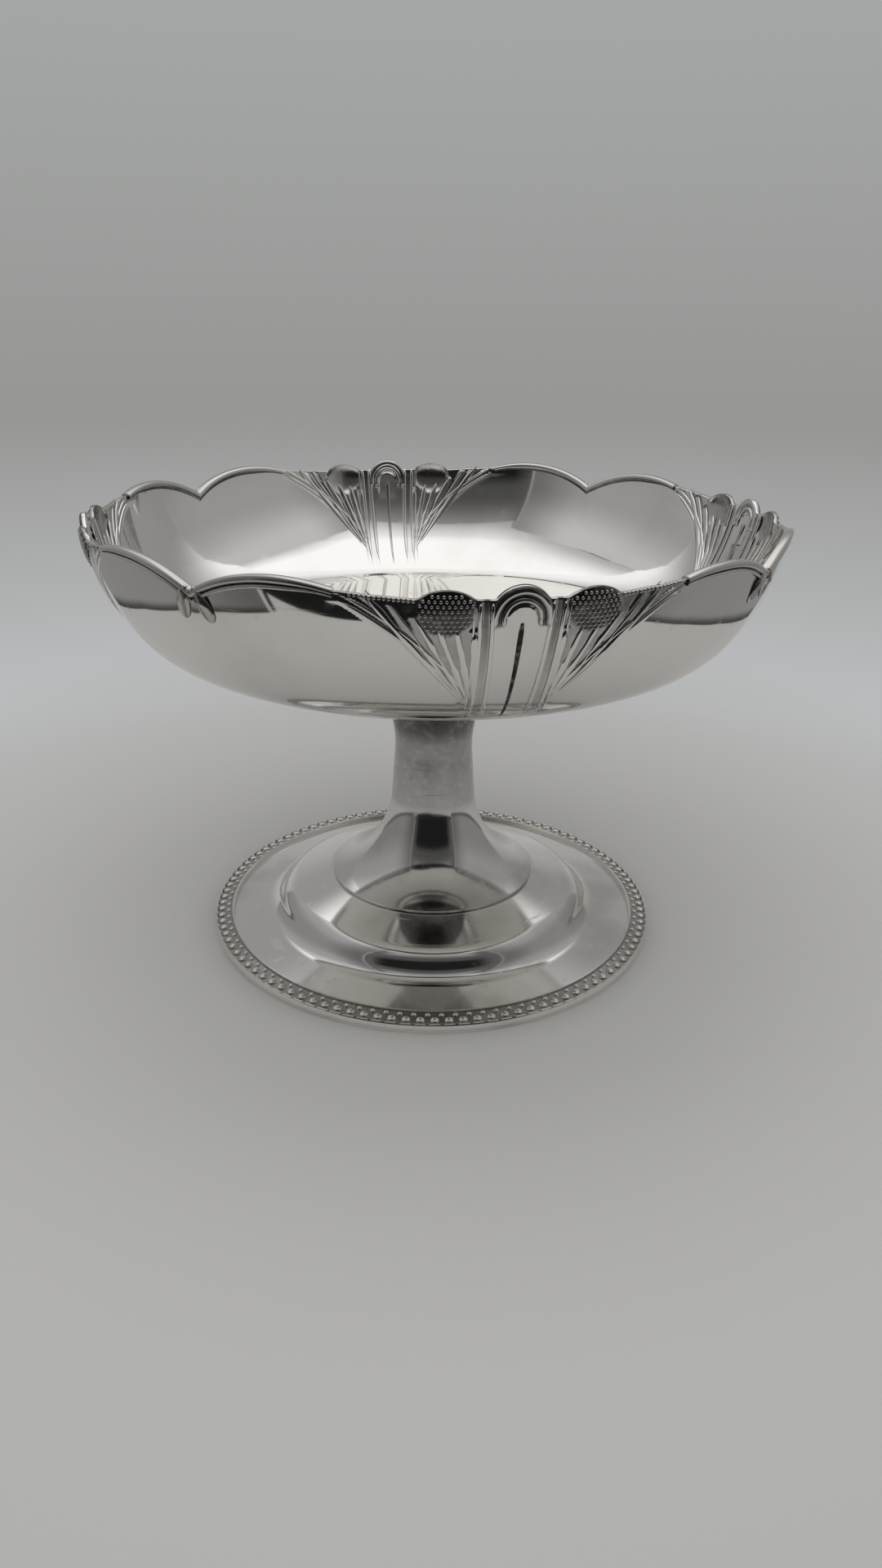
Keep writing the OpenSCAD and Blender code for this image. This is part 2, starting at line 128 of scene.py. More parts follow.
@dataclass(frozen=True)
class Trail:
    """Path of a spun profile: its start, its heading in degrees, and its stretches."""

    start: Point
    heading: float
    moves: tuple[Move, ...]

    def points(self, step: float) -> list[Point]:
        """Points of the path.

        Args:
            step: largest turn between two points of an arc, in degrees.

        Returns:
            Radius and height of each point.
        """
        (r, z), h = self.start, self.heading
        found = [(r, z)]
        for move in self.moves:
            count = max(1, ceil(abs(move.turn) / step))
            for k in range(1, count + 1):
                found.append(self._reach(r, z, h, move.size, move.turn * k / count))
            r, z = found[-1]
            h += move.turn
        return found

    def beside(self, distance: float) -> "Trail":
        """The same path moved to its left.

        Args:
            distance: how far it is moved.

        Returns:
            The new path.
        """
        start = (self.start[0] - distance * sind(self.heading), self.start[1] + distance * cosd(self.heading))
        moves = (Move(m.size - copysign(distance, m.turn) if m.turn else m.size, m.turn) for m in self.moves)
        return Trail(start, self.heading, tuple(moves))

    @staticmethod
    def _reach(r: float, z: float, heading: float, size: float, turn: float) -> Point:
        """End of a straight or of an arc.

        Args:
            r: radius at its start.
            z: height at its start.
            heading: heading at its start, in degrees.
            size: length of the straight or radius of the arc.
            turn: turn of the arc in degrees, 0 for a straight.

        Returns:
            Radius and height.
        """
        if turn == 0:
            return r + size * cosd(heading), z + size * sind(heading)
        side, end = copysign(size, turn), heading + turn
        return r + side * (sind(end) - sind(heading)), z + side * (cosd(heading) - cosd(end))


def marks(bm: Mesh) -> bmesh.types.BMLayerItem:
    """Layer of painted shade and tarnish, from 0 to 1: how dark each point is painted, mostly where it lies deep among
    its neighbours.
    """
    layers = bm.verts.layers.float
    return layers[RECESS] if RECESS in layers else layers.new(RECESS)


def grid(bm: Mesh, columns: int, rows: int) -> list[tuple[bmesh.types.BMVert, int, int]]:
    """Adds a flat grid to be moved into place, and gives each point with its column and its row."""
    made = bmesh.ops.create_grid(bm, x_segments=columns, y_segments=rows, size=1.0)["verts"]
    return [(v, round((v.co.x + 1) / 2 * columns), round((v.co.y + 1) / 2 * rows)) for v in made]


def spun(profile: Sequence[Point], steps: int = SPIN_STEPS) -> Mesh:
    """Spins a closed profile round the axis.

    Args:
        profile: radius and height of each point.
        steps: count of columns in the full turn.

    Returns:
        The mesh, with its doubles merged and its faces outwards.
    """
    bm = bmesh.new()
    verts = [bm.verts.new((r, 0.0, z)) for r, z in profile]
    edges = [bm.edges.new(pair) for pair in zip(verts, verts[1:] + verts[:1])]
    bmesh.ops.spin(
        bm, geom=verts + edges, cent=(0, 0, 0), axis=(0, 0, 1), angle=tau, steps=steps, use_merge=True
    )
    bmesh.ops.remove_doubles(bm, verts=bm.verts, dist=MERGE)
    bmesh.ops.recalc_face_normals(bm, faces=bm.faces)
    return bm


def copied(bm: Mesh, geom: Sequence[object]) -> tuple[list[bmesh.types.BMVert], list[bmesh.types.BMFace]]:
    """Doubles a part of a mesh and gives the copy's points and faces."""
    made = bmesh.ops.duplicate(bm, geom=geom)["geom"]
    return tuple([g for g in made if isinstance(g, kind)] for kind in (bmesh.types.BMVert, bmesh.types.BMFace))


def mirrored(bm: Mesh) -> None:
    """Adds the mirror image across a panel's centre line to all that a mesh holds.

    Args:
        bm: the mesh.
    """
    verts, faces = copied(bm, [*bm.verts, *bm.edges, *bm.faces])
    bmesh.ops.scale(bm, vec=(-1, 1, 1), verts=verts)
    bmesh.ops.reverse_faces(bm, faces=faces)


def repeated(bm: Mesh, geom: Sequence[object], count: int) -> None:
    """Adds copies of a part of a mesh, evenly round the axis.

    Args:
        bm: the mesh.
        geom: its points, edges and faces that are copied.
        count: how many there are then.
    """
    for k in range(1, count):
        verts, _ = copied(bm, geom)
        bmesh.ops.rotate(bm, verts=verts, cent=(0, 0, 0), matrix=Matrix.Rotation(tau / count * k, 3, "Z"))


def placed(name: str, data: bpy.types.ID) -> bpy.types.Object:
    """Adds an object to the scene.

    Args:
        name: its name.
        data: its data.

    Returns:
        The object.
    """
    obj = bpy.data.objects.new(name, data)
    bpy.context.scene.collection.objects.link(obj)
    return obj


def meshed(name: str, bm: Mesh, material: bpy.types.Material) -> bpy.types.Object:
    """Turns a bmesh into an object.

    Args:
        name: its name.
        bm: its mesh, which is freed.
        material: its material.

    Returns:
        The object.
    """
    mesh = bpy.data.meshes.new(name)
    bm.to_mesh(mesh)
    bm.free()
    mesh.materials.append(material)
    return placed(name, mesh)


class NodeSheet:
    """Small helper that adds and joins shader nodes."""

    def __init__(self, tree: bpy.types.NodeTree) -> None:
        """Keeps the tree that is written to."""
        self.tree = tree

    def feed(self, socket: Socket, value: object) -> None:
        """Gives a socket what it takes.

        Args:
            socket: the socket.
            value: a socket to link, a number, a colour without its alpha, or nothing.
        """
        if isinstance(value, Socket):
            self.tree.links.new(value, socket)
        elif value is not None:
            socket.default_value = (*value, 1.0) if socket.type == "RGBA" else value

    def add(self, kind: str, inputs: Optional[dict] = None, **values: object) -> bpy.types.Node:
        """Adds a node.

        Args:
            kind: the node's type.
            inputs: what its sockets take, by name or number.
            values: its properties.

        Returns:
            The node.
        """
        node = self.tree.nodes.new(kind)
        for key, value in values.items():
            setattr(node, key, value)
        for key, value in (inputs or {}).items():
            self.feed(node.inputs[key], value)
        return node

    def math(self, operation: str, a: object, b: object = None, clamp: bool = False) -> Socket:
        """Adds a Math node on numbers or sockets and gives its result's socket."""
        return self.add("ShaderNodeMath", {0: a, 1: b}, operation=operation, use_clamp=clamp).outputs[0]

    def spread(
        self, value: Socket, low: float, high: float, to: Point = (0.0, 1.0), kind: str = "SMOOTHSTEP"
    ) -> Socket:
        """Adds a Map Range node, from low and high to the two results, and gives its result's socket."""
        inputs = {"Value": value, "From Min": low, "From Max": high, "To Min": to[0], "To Max": to[1]}
        return self.add("ShaderNodeMapRange", inputs, interpolation_type=kind).outputs["Result"]

    def blend(self, share: object, a: object, b: object) -> Socket:
        """Adds a colour Mix node, which has share of b in a, and gives its result's socket."""
        return self.add("ShaderNodeMix", {0: share, 6: a, 7: b}, data_type="RGBA").outputs[2]

    def noise(self, place: Socket, scale: float, detail: float) -> Socket:
        """Adds a noise texture and gives its value's socket."""
        return self.add("ShaderNodeTexNoise", {"Vector": place, "Scale": scale, "Detail": detail}).outputs[0]


def node_material(name: str) -> tuple[bpy.types.Material, NodeSheet]:
    """Starts a material.

    Args:
        name: its name.

    Returns:
        The material, and the sheet for its nodes.
    """
    made = bpy.data.materials.new(name)
    made.use_nodes = True
    return made, NodeSheet(made.node_tree)


class Wear:
    """Marks of use on polished metal: hazy smudges, small scuffs and hairline scratches."""

    NAME = "wear_marks"
    SMUDGE = (24.0, 4.0, 0.46, 0.72)
    SCUFF = (160.0, 5.0, 0.6, 0.74)
    SCRATCH = (1.0, 1.0, 0.66, 0.74)
    HAIR_SCALE = (60.0, 60.0, 1800.0)
    HAIR_TURN = (0.3, 0.2, 0.0)
    SCRATCH_SHARE = 0.6
    RIPPLE = (55.0, 1.0)
    RIPPLE_HIGH = 0.35
    SCRATCH_DEEP = 0.015

    @classmethod
    def group(cls) -> bpy.types.NodeTree:
        """Builds the marks once.

        Returns:
            The shader node group.
        """
        if cls.NAME in bpy.data.node_groups:
            return bpy.data.node_groups[cls.NAME]
        tree = bpy.data.node_groups.new(cls.NAME, "ShaderNodeTree")
        tree.interface.new_socket(name="Place", in_out="INPUT", socket_type="NodeSocketVector")
        for name in ("Smudge", "Scuff", "Height"):
            tree.interface.new_socket(name=name, in_out="OUTPUT", socket_type="NodeSocketFloat")
        sheet = NodeSheet(tree)
        place = sheet.add("NodeGroupInput").outputs["Place"]
        hair = sheet.add("ShaderNodeMapping", {"Vector": place, "Scale": cls.HAIR_SCALE, "Rotation": cls.HAIR_TURN})
        smudge, scuff, scratch = (
            sheet.spread(sheet.noise(where, scale, detail), low, high)
            for where, (scale, detail, low, high) in (
                (place, cls.SMUDGE), (place, cls.SCUFF), (hair.outputs["Vector"], cls.SCRATCH)
            )
        )
        high = sheet.math("MULTIPLY", sheet.noise(place, *cls.RIPPLE), cls.RIPPLE_HIGH)
        sheet.add("NodeGroupOutput", {
            "Smudge": smudge,
            "Scuff": sheet.math("MAXIMUM", scuff, sheet.math("MULTIPLY", scratch, cls.SCRATCH_SHARE)),
            "Height": sheet.math("SUBTRACT", high, sheet.math("MULTIPLY", scratch, cls.SCRATCH_DEEP)),
        })
        return tree


@dataclass(frozen=True)
class MetalFinish:
    """A metal with wear: its clean and dulled colours, its colour of tarnish and painted shade, its gloss, and how far
    it is worn.
    """

    name: str
    clean: Triple
    dulled: Triple
    tarnish_and_shade: Triple
    roughness: float
    worn_roughness: float
    smudged: float
    ripple: float
    recessed: bool
    bump: float = 0.4 * MM
    patch: Point = (420.0, 2.0)
    patch_range: Point = (0.2, 0.6)
    patch_to: Point = (0.75, 1.0)
    deep_roughness: float = 0.2

    def material(self) -> bpy.types.Material:
        """Builds the material once.

        Returns:
            The material.
        """
        if self.name in bpy.data.materials:
            return bpy.data.materials[self.name]
        made, sheet = node_material(self.name)
        place = sheet.add("ShaderNodeTexCoord").outputs["Object"]
        wear = sheet.add("ShaderNodeGroup", {"Place": place}, node_tree=Wear.group())
        dull = sheet.math("MULTIPLY", wear.outputs["Smudge"], self.smudged)
        colour = sheet.blend(dull, self.clean, self.dulled)
        rough = sheet.math("ADD", sheet.math("MULTIPLY", wear.outputs["Scuff"], self.worn_roughness), self.roughness)
        rough = sheet.math("ADD", rough, sheet.math("MULTIPLY", dull, self.worn_roughness))
        # Painted shade with tarnish: the recess mark, made patchy by noise, blends the colour towards the
        # tarnish-and-shade colour and roughens it.
        if self.recessed:
            mark = sheet.add("ShaderNodeAttribute", attribute_name=RECESS)
            patchy = sheet.spread(sheet.noise(place, *self.patch), *self.patch_range, self.patch_to)
            deep = sheet.math("MULTIPLY", mark.outputs["Fac"], patchy, clamp=True)
            colour = sheet.blend(deep, colour, self.tarnish_and_shade)
            rough = sheet.math("ADD", rough, sheet.math("MULTIPLY", deep, self.deep_roughness), clamp=True)
        bump = sheet.add(
            "ShaderNodeBump", {"Strength": self.ripple, "Distance": self.bump, "Height": wear.outputs["Height"]}
        )
        shader = made.node_tree.nodes["Principled BSDF"]
        shader.inputs["Metallic"].default_value = 1.0
        for socket, value in (("Base Color", colour), ("Roughness", rough), ("Normal", bump.outputs["Normal"])):
            sheet.feed(shader.inputs[socket], value)
        return made


# Each finish's third colour is tarnish and painted shade, laid on where the recess mark is set.
SILVER = MetalFinish(
    "polished_silver", (0.80, 0.785, 0.76), (0.42, 0.39, 0.35), (0.035, 0.032, 0.03), 0.05, 0.12, 0.16, 0.06, True
)
SILVER_WORN = MetalFinish(
    "worn_silver", (0.85, 0.835, 0.81), (0.36, 0.33, 0.29), (0.05, 0.045, 0.04), 0.085, 0.2, 0.42, 0.10, False
)
# The stem's finish: random haze, and a dark colour for the painted shade on its upper part.
SILVER_STEM = MetalFinish(
    "hazed_silver", (0.72, 0.705, 0.685), (0.33, 0.31, 0.285), (0.12, 0.117, 0.113), 0.09, 0.2, 0.6, 0.12, True
)
SILVER_TRIM = MetalFinish(
    "cast_silver", (0.60, 0.585, 0.555), (0.26, 0.24, 0.21), (0.03, 0.027, 0.025), 0.16, 0.18, 0.25, 0.12, True
)
SILVER_BEAD = MetalFinish(
    "beaded_silver", (0.88, 0.86, 0.82), (0.40, 0.37, 0.34), (0.22, 0.205, 0.19), 0.14, 0.16, 0.22, 0.12, True
)
BRASS = MetalFinish(
    "turned_brass", (0.72, 0.56, 0.30), (0.34, 0.24, 0.12), (0.1, 0.07, 0.03), 0.26, 0.2, 0.5, 0.2, False
)
STEEL = MetalFinish(
    "threaded_steel", (0.50, 0.49, 0.48), (0.26, 0.23, 0.20), (0.1, 0.09, 0.08), 0.32, 0.2, 0.4, 0.2, False
)


def make_piece(
    name: str, bm: Mesh, finish: MetalFinish, slot: Slot, nodes: Sequence[str] = (), crease: float = 40.0
) -> None:
    """Turns a bmesh into a piece that rides on the part.

    Args:
        name: the piece's name.
        bm: its mesh, which is freed.
        finish: its finish.
        slot: the record's slot for the piece; not used.
        nodes: CAD nodes that it stands for.
        crease: angle in degrees past which an edge stays sharp.
    """
    obj = meshed(name, bm, finish.material())
    obj.data.shade_smooth()
    obj.data.set_sharp_from_angle(angle=radians(crease))
    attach(obj, "root")
    if nodes:
        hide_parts(*nodes)
    LOG.info("%s: %d faces", name, len(obj.data.polygons))


@dataclass
class Bowl:
    """Stamped bowl with four arched panels in its scalloped rim."""

    rim_r: float = 115.0 * MM
    top_z: float = 155.0 * MM
    wall: float = 1.4 * MM
    corner_r: float = 33.0 * MM
    collar_r: float = 72.0 * MM
    floor_slope: float = 14.0
    corner_slope: float = 57.0
    rim_slope: float = 84.0
    rim_edge: float = 0.3 * MM
    arch_r: float = 8.3 * MM
    arch_drop: float = 0.5 * MM
    hood_r: float = 11.5 * MM
    hood_x: float = 19.1 * MM
    hood_drop: float = 1.5 * MM
    hood_margin: float = 0.3 * MM
    hood_down: float = 3.2 * MM
    hood_half_z: float = 6.6 * MM
    hood_swell: float = 1.35
    hood_dark: float = 0.9
    hood_soft: float = 0.12
    shoulder_drop: float = 4.0 * MM
    notch_drop: float = 7.0 * MM
    ramp_slope: float = 4.0
    border_a: float = 23.75
    lobe_a: float = 31.5
    border_cap: float = 1.0 * MM
    high_relief: float = 0.8 * MM
    fan_relief: float = 0.5 * MM
    fan_share: float = 0.45
    pilaster_x: float = 9.5 * MM
    reed_off: float = 1.55 * MM
    reed_half: float = 0.65 * MM
    reed_fade: float = 0.14
    reed_dark: Point = (0.3, 0.85)
    reed_dark_up: Point = (0.3, 0.9)
    reed_dark_x: Point = (0.6 * MM, 1.0 * MM)
    taper: float = 0.8
    outer_ring: Point = (7.0 * MM, 1.25 * MM)
    inner_ring: Point = (4.7 * MM, 0.8 * MM)
    ring_dark: float = 0.9
    ring_dark_x: float = 1.6 * MM
    leg_l: float = 2.6 * MM
    niche: tuple[Triple, ...] = ((-7.5 * MM, 6.5 * MM, 0.45), (-1.0 * MM, 4.5 * MM, 0.6))
    niche_edge: Point = (4.4 * MM, 3.4 * MM)
    rib_half: float = 0.85 * MM
    ridge_r: float = 90.0 * MM
    ridge_half: float = 0.7 * MM
    ridge_gap: float = 1.7 * MM
    ridge_dark: float = 0.6
    ridge_dark_x: float = 0.6 * MM
    leaf_edges: tuple[float, ...] = (90.0, 80.0, 71.0, 63.0, 57.0, 53.0, 48.0)
    leaf_tips: tuple[float, ...] = (0.52, 0.57, 0.61, 0.70, 0.82, 0.92)
    leaf_grown: Point = (0.1, 0.35)
    leaf_dark: float = 0.45
    slits: tuple[Point, ...] = (
        (0.0, 0.0), (0.30, 0.50), (0.42, 0.60), (0.32, 0.50), (0.48, 0.66), (0.60, 0.80), (0.0, 0.0)
    )
    column_bands: tuple[tuple[float, int], ...] = ((6.5, 28), (23.0, 58), (45.0, 12))
    outer_rows: tuple[int, int, int] = (6, 8, 52)
    inner_rows: tuple[int, int, int] = (5, 8, 42)
    print_share: float = 0.35
    inner_share: float = 0.45

    def __post_init__(self) -> None:
        """Works out the sizes that follow from the fields."""
        floor, corner, rim = self.floor_slope, self.corner_slope, self.rim_slope
        arch_tip_z = self.top_z - self.arch_drop
        run = self.corner_r * (sind(corner) - sind(floor)) + self.collar_r * (sind(rim) - sind(corner))
        self.floor_r = (self.rim_r - run) / sind(floor)
        self.collar_z = arch_tip_z - self.collar_r * (cosd(corner) - cosd(rim))
        self.corner_z = self.collar_z - self.corner_r * (cosd(floor) - cosd(corner))
        self.floor_z = self.corner_z - self.floor_r * (1 - cosd(floor))
        corner_x = self.floor_r * sind(floor)
        collar_x = corner_x + self.corner_r * (sind(corner) - sind(floor))
        self.arcs = (
            (self.collar_z, collar_x, self.collar_r, corner),
            (self.corner_z, corner_x, self.corner_r, floor),
            (self.floor_z, 0.0, self.floor_r, 0.0),
        )
        self.arch_z = arch_tip_z - self.arch_r
        self.hood_z = self.top_z - self.hood_drop - self.hood_r
        self.shoulder_z = self.top_z - self.shoulder_drop
        self.notch_z = self.top_z - self.notch_drop
        self.hood_half = sqrt(self.hood_r**2 - (self.shoulder_z - self.hood_z) ** 2)
        self.ramp_x = self.hood_x + self.hood_half
        self.lobe_x = self.rim_r * sind(180 / PANELS - self.lobe_a)
        self.lobe_r = (self.lobe_x**2 + self.notch_drop**2) / (2 * self.notch_drop)
        self.lobe_z = self.top_z - self.lobe_r
        self.border_x = self.rim_r * sind(180 / PANELS - self.border_a)
        self.relief_foot_z = self.corner_z + (self.collar_z - self.corner_z) / 4
        self.fan_foot = (self.pilaster_x, mix(self.relief_foot_z, self.collar_z, self.fan_share))
        self.fan_top = (self.rim_r * sind(self.border_a), self.shoulder_z)
        (x0, z0), (x1, z1) = self.fan_foot, self.fan_top
        self.fan_l = hypot(x1 - x0, z1 - z0)
        lift = sqrt(self.ridge_r**2 - (self.fan_l / 2) ** 2) / self.fan_l
        self.ridge_c = ((x0 + x1) / 2 + (z1 - z0) * lift, (z0 + z1) / 2 - (x1 - x0) * lift)

    def wall_at(self, z: float) -> Point:
        """Lie of the outer face.

        Args:
            z: height above the table.

        Returns:
            Radius and slope, in radians.
        """
        for low, x, r, start in self.arcs:
            if z >= low:
                break
        slope = acos(max(-1.0, min(1.0, cosd(start) - (z - low) / r)))
        return x + r * (sin(slope) - sind(start)), slope

    def place(self, angle: float, z: float, out: float) -> Vector:
        """Point at a distance outwards from the outer face.

        Args:
            angle: angle round the axis, in radians.
            z: height on the outer face.
            out: distance along the face's normal.

        Returns:
            The point.
        """
        r, slope = self.wall_at(z)
        r += out * sin(slope)
        return Vector((r * cos(angle), r * sin(angle), z - out * cos(slope)))

    def beside(self, x: float, z: float, out: float, heading: float = FRONT) -> Vector:
        """The same, at a distance sideways from a heading in radians."""
        return self.place(heading + asin(x / self.wall_at(z)[0]), z, out)

    def rim_height(self, turn: float) -> float:
        """Height of the sheet's edge.

        Args:
            turn: angle from the nearest panel's centre line, in radians.

        Returns:
            The height.
        """
        turn = abs(turn)
        if turn > radians(self.border_a):
            x = self.rim_r * sin(pi / PANELS - turn) - self.lobe_x
            return self.lobe_z + sqrt((self.lobe_r - self.border_cap) ** 2 - x**2)
        x = self.rim_r * sin(turn)
        z = self.shoulder_z + max(0.0, x - self.ramp_x) * tan(radians(self.ramp_slope))
        if x < self.arch_r:
            z = max(z, self.arch_z + sqrt(self.arch_r**2 - x**2))
        if abs(x - self.hood_x) < self.hood_half:
            z = max(z, self.hood_z + sqrt(self.hood_r**2 - (x - self.hood_x) ** 2))
        return z

    def edge_at(self, x: float) -> float:
        """Height of the sheet's edge at a distance from the panel's centre line."""
        return self.rim_height(asin(x / self.rim_r))

    def pilaster_at(self, z: float) -> float:
        """Distance of a pilaster from the panel's centre line at a height."""
        return self.pilaster_x * mix(self.taper, 1.0, self.rise(z))

    def rise(self, z: float) -> float:
        """Share of the way up the panel, from the foot of its ornament."""
        return (z - self.relief_foot_z) / (self.top_z - self.relief_foot_z)

    def relief(self, x: float, z: float) -> Point:
        """Relief of the stamped sheet. The chased lines lie on a shallow print of themselves.

        Args:
            x: distance from the panel's centre line.
            z: height.

        Returns:
            Height above the plain sheet, and its mark of painted shade, from 0 to 1.
        """
        x = abs(x)
        if z < self.relief_foot_z or x > self.fan_top[0] + self.ridge_half:
            return 0.0, 0.0
        forms = [self._fan(x, z), self._reeds(x, z), self._arch(x, z)]
        high = self.print_share * max(form[0] for form in forms)
        forms.append(self.hood(x, z))
        high, deep = max(high, forms[-1][0]), max(form[1] for form in forms)
        if x < self.inner_ring[0]:
            bulge = sum(share * min(1.0, max(0.0, (z - self.arch_z - low) / run)) for low, run, share in self.niche)
            edge = hypot(x, max(0.0, z - self.arch_z))
            high = max(high, self.high_relief * bulge * ease(*self.niche_edge, edge))
        return high, deep

    def _reeds(self, x: float, z: float) -> Point:
        """Print of a pilaster's reeds.

        Args:
            x: distance from the panel's centre line.
            z: height.

        Returns:
            Height and painted shade mark.
        """
        up, off = self.rise(z), abs(x - self.pilaster_at(z))
        fade = ease(0.0, self.reed_fade, up)
        # Painted shade in the valley between a pilaster's reeds, deeper higher up.
        dark = mix(*self.reed_dark, ease(*self.reed_dark_up, up)) * (1 - ease(*self.reed_dark_x, off))
        return fade * self.high_relief * roll(off - self.reed_off, self.reed_half), fade * dark

    def _arch(self, x: float, z: float) -> Point:
        """Print of the arch's two mouldings and the legs that they stand on.

        Args:
            x: distance from the panel's centre line.
            z: height.

        Returns:
            Height and painted shade mark.
        """
        if z < self.arch_z - self.leg_l:
            return 0.0, 0.0
        d = hypot(x, max(0.0, z - self.arch_z))
        high = max(roll(d - middle, half) for middle, half in (self.outer_ring, self.inner_ring))
        # Painted shade in the valley between the arch's two mouldings.
        between = 1 - ease(0.0, self.ring_dark_x, abs(d - (self.outer_ring[0] + self.inner_ring[0]) / 2))
        return self.high_relief * high, self.ring_dark * between

    def hood(self, x: float, z: float) -> Point:
        """Relief of the domed hood.

        Args:
            x: distance from the panel's centre line.
            z: height.

        Returns:
            Height and painted shade mark.
        """
        u = (x - self.hood_x) / (self.hood_half + self.hood_margin)
        v = (z - self.shoulder_z + self.hood_down) / self.hood_half_z
        room = 1 - u * u - v * v
        if room <= 0:
            return 0.0, 0.0
        # Painted shade over the whole hood, round its beads.
        return self.hood_swell * self.high_relief * sqrt(room), self.hood_dark * ease(0.0, self.hood_soft, room)

    def _fan(self, x: float, z: float) -> Point:
        """Print of the leaf fan and of the ridges along it.

        Args:
            x: distance from the panel's centre line.
            z: height.

        Returns:
            Height and painted shade mark.
        """
        past = hypot(x - self.ridge_c[0], z - self.ridge_c[1]) - self.ridge_r
        if z < self.fan_foot[1] or past < -self.ridge_half or x < self.pilaster_at(z):
            return 0.0, 0.0
        ridge = self.high_relief * max(roll(past - gap, self.ridge_half) for gap in (0.0, self.ridge_gap))
        if past < self.ridge_gap:
            # Painted shade in the valley between the two ridges.
            return ridge, self.ridge_dark * roll(past - self.ridge_gap / 2, self.ridge_dark_x)
        dx, dz = x - self.fan_foot[0], z - self.fan_foot[1]
        way, turn = hypot(dx, dz) / self.fan_l, degrees(atan2(dz, dx))
        grown = ease(*self.leaf_grown, way)
        leaf = 0.0
        for upper, lower, tip in zip(self.leaf_edges, self.leaf_edges[1:], self.leaf_tips):
            if lower <= turn <= upper and way < tip:
                u = (2 * turn - upper - lower) / (upper - lower)
                leaf = 2 * self.fan_relief * grown * (1 - u * u)
        # Painted shade over the fan, growing with the leaves.
        return max(ridge, leaf), self.leaf_dark * grown

    def columns(self) -> list[float]:
        """Columns of the mesh round the axis, closer together in the panels.

        Returns:
            Their angles in radians, from a panel's centre line on.
        """
        half: list[float] = []
        start = 0.0
        for end, count in self.column_bands:
            half += [start + (end - start) * k / count for k in range(count)]
            start = end
        quarter = half + [2 * start - a for a in reversed(half[1:] + [start])]
        return [radians(90.0 * q + a) for q in range(PANELS) for a in quarter]

    def surface(self, row: int, rows: tuple[int, int, int], turn: float, inside: bool) -> Triple:
        """Where a spot of the mesh lies.

        Args:
            row: row of the mesh, from the middle of the floor.
            rows: counts of rows on the floor, the turn and the wall.
            turn: angle from the nearest panel's centre line, in radians.
            inside: whether the spot is on the inner face.

        Returns:
            Radius, height, and the painted shade mark.
        """
        floor, corner, collar = rows
        if row <= floor:
            z = self.floor_z + self.floor_r * (1 - cosd(self.floor_slope * row / floor))
        elif row <= floor + corner:
            slope = mix(self.floor_slope, self.corner_slope, (row - floor) / corner)
            z = self.corner_z + self.corner_r * (cosd(self.floor_slope) - cosd(slope))
        else:
            z = mix(self.collar_z, self.rim_height(turn), (row - floor - corner) / collar)
        r, slope = self.wall_at(z)
        out, deep = self.relief(r * sin(turn), z)
        if inside:
            out, deep = out - self.wall, deep * self.inner_share
        return r + out * sin(slope), z if row == sum(rows) else z - out * cos(slope), deep

    def shell(self, bm: Mesh, inside: bool) -> None:
        """Adds one face of the sheet: a grid is wrapped round the axis and its points are moved into place.

        Args:
            bm: mesh that takes the shell.
            inside: whether it is the inner face.
        """
        rows = self.inner_rows if inside else self.outer_rows
        angles, mark = self.columns(), marks(bm)
        points = grid(bm, len(angles), sum(rows))
        for v, column, row in points:
            angle = angles[column % len(angles)]
            turn = (angle + pi / PANELS) % (tau / PANELS) - pi / PANELS
            r, z, v[mark] = self.surface(row, rows, turn, inside)
            v.co = (r * cos(angle + FRONT), r * sin(angle + FRONT), z)
        fresh = [f for f in bm.faces if not f.tag]
        bmesh.ops.remove_doubles(bm, verts=[v for v, _, _ in points], dist=MERGE)
        fresh = [f for f in fresh if f.is_valid]
        bmesh.ops.recalc_face_normals(bm, faces=fresh)
        up = sum(f.normal.z * f.calc_area() for f in fresh)
        if (up > 0) != inside:
            bmesh.ops.reverse_faces(bm, faces=fresh)
        for f in bm.faces:
            f.tag = True

    def build(self) -> None:
        """Builds the bowl and stands it in for its node."""
        bm = bmesh.new()
        self.shell(bm, inside=False)
        self.shell(bm, inside=True)
        rim = [e for e in bm.edges if e.is_boundary]
        bmesh.ops.bridge_loops(bm, edges=rim)
        bmesh.ops.bevel(
            bm, geom=rim, offset=self.rim_edge, segments=2, profile=0.5, affect="EDGES", material=-1, clamp_overlap=True
        )
        make_piece("bowl_stamping", bm, SILVER, Slot.PLATE, ["bowl"], crease=60.0)


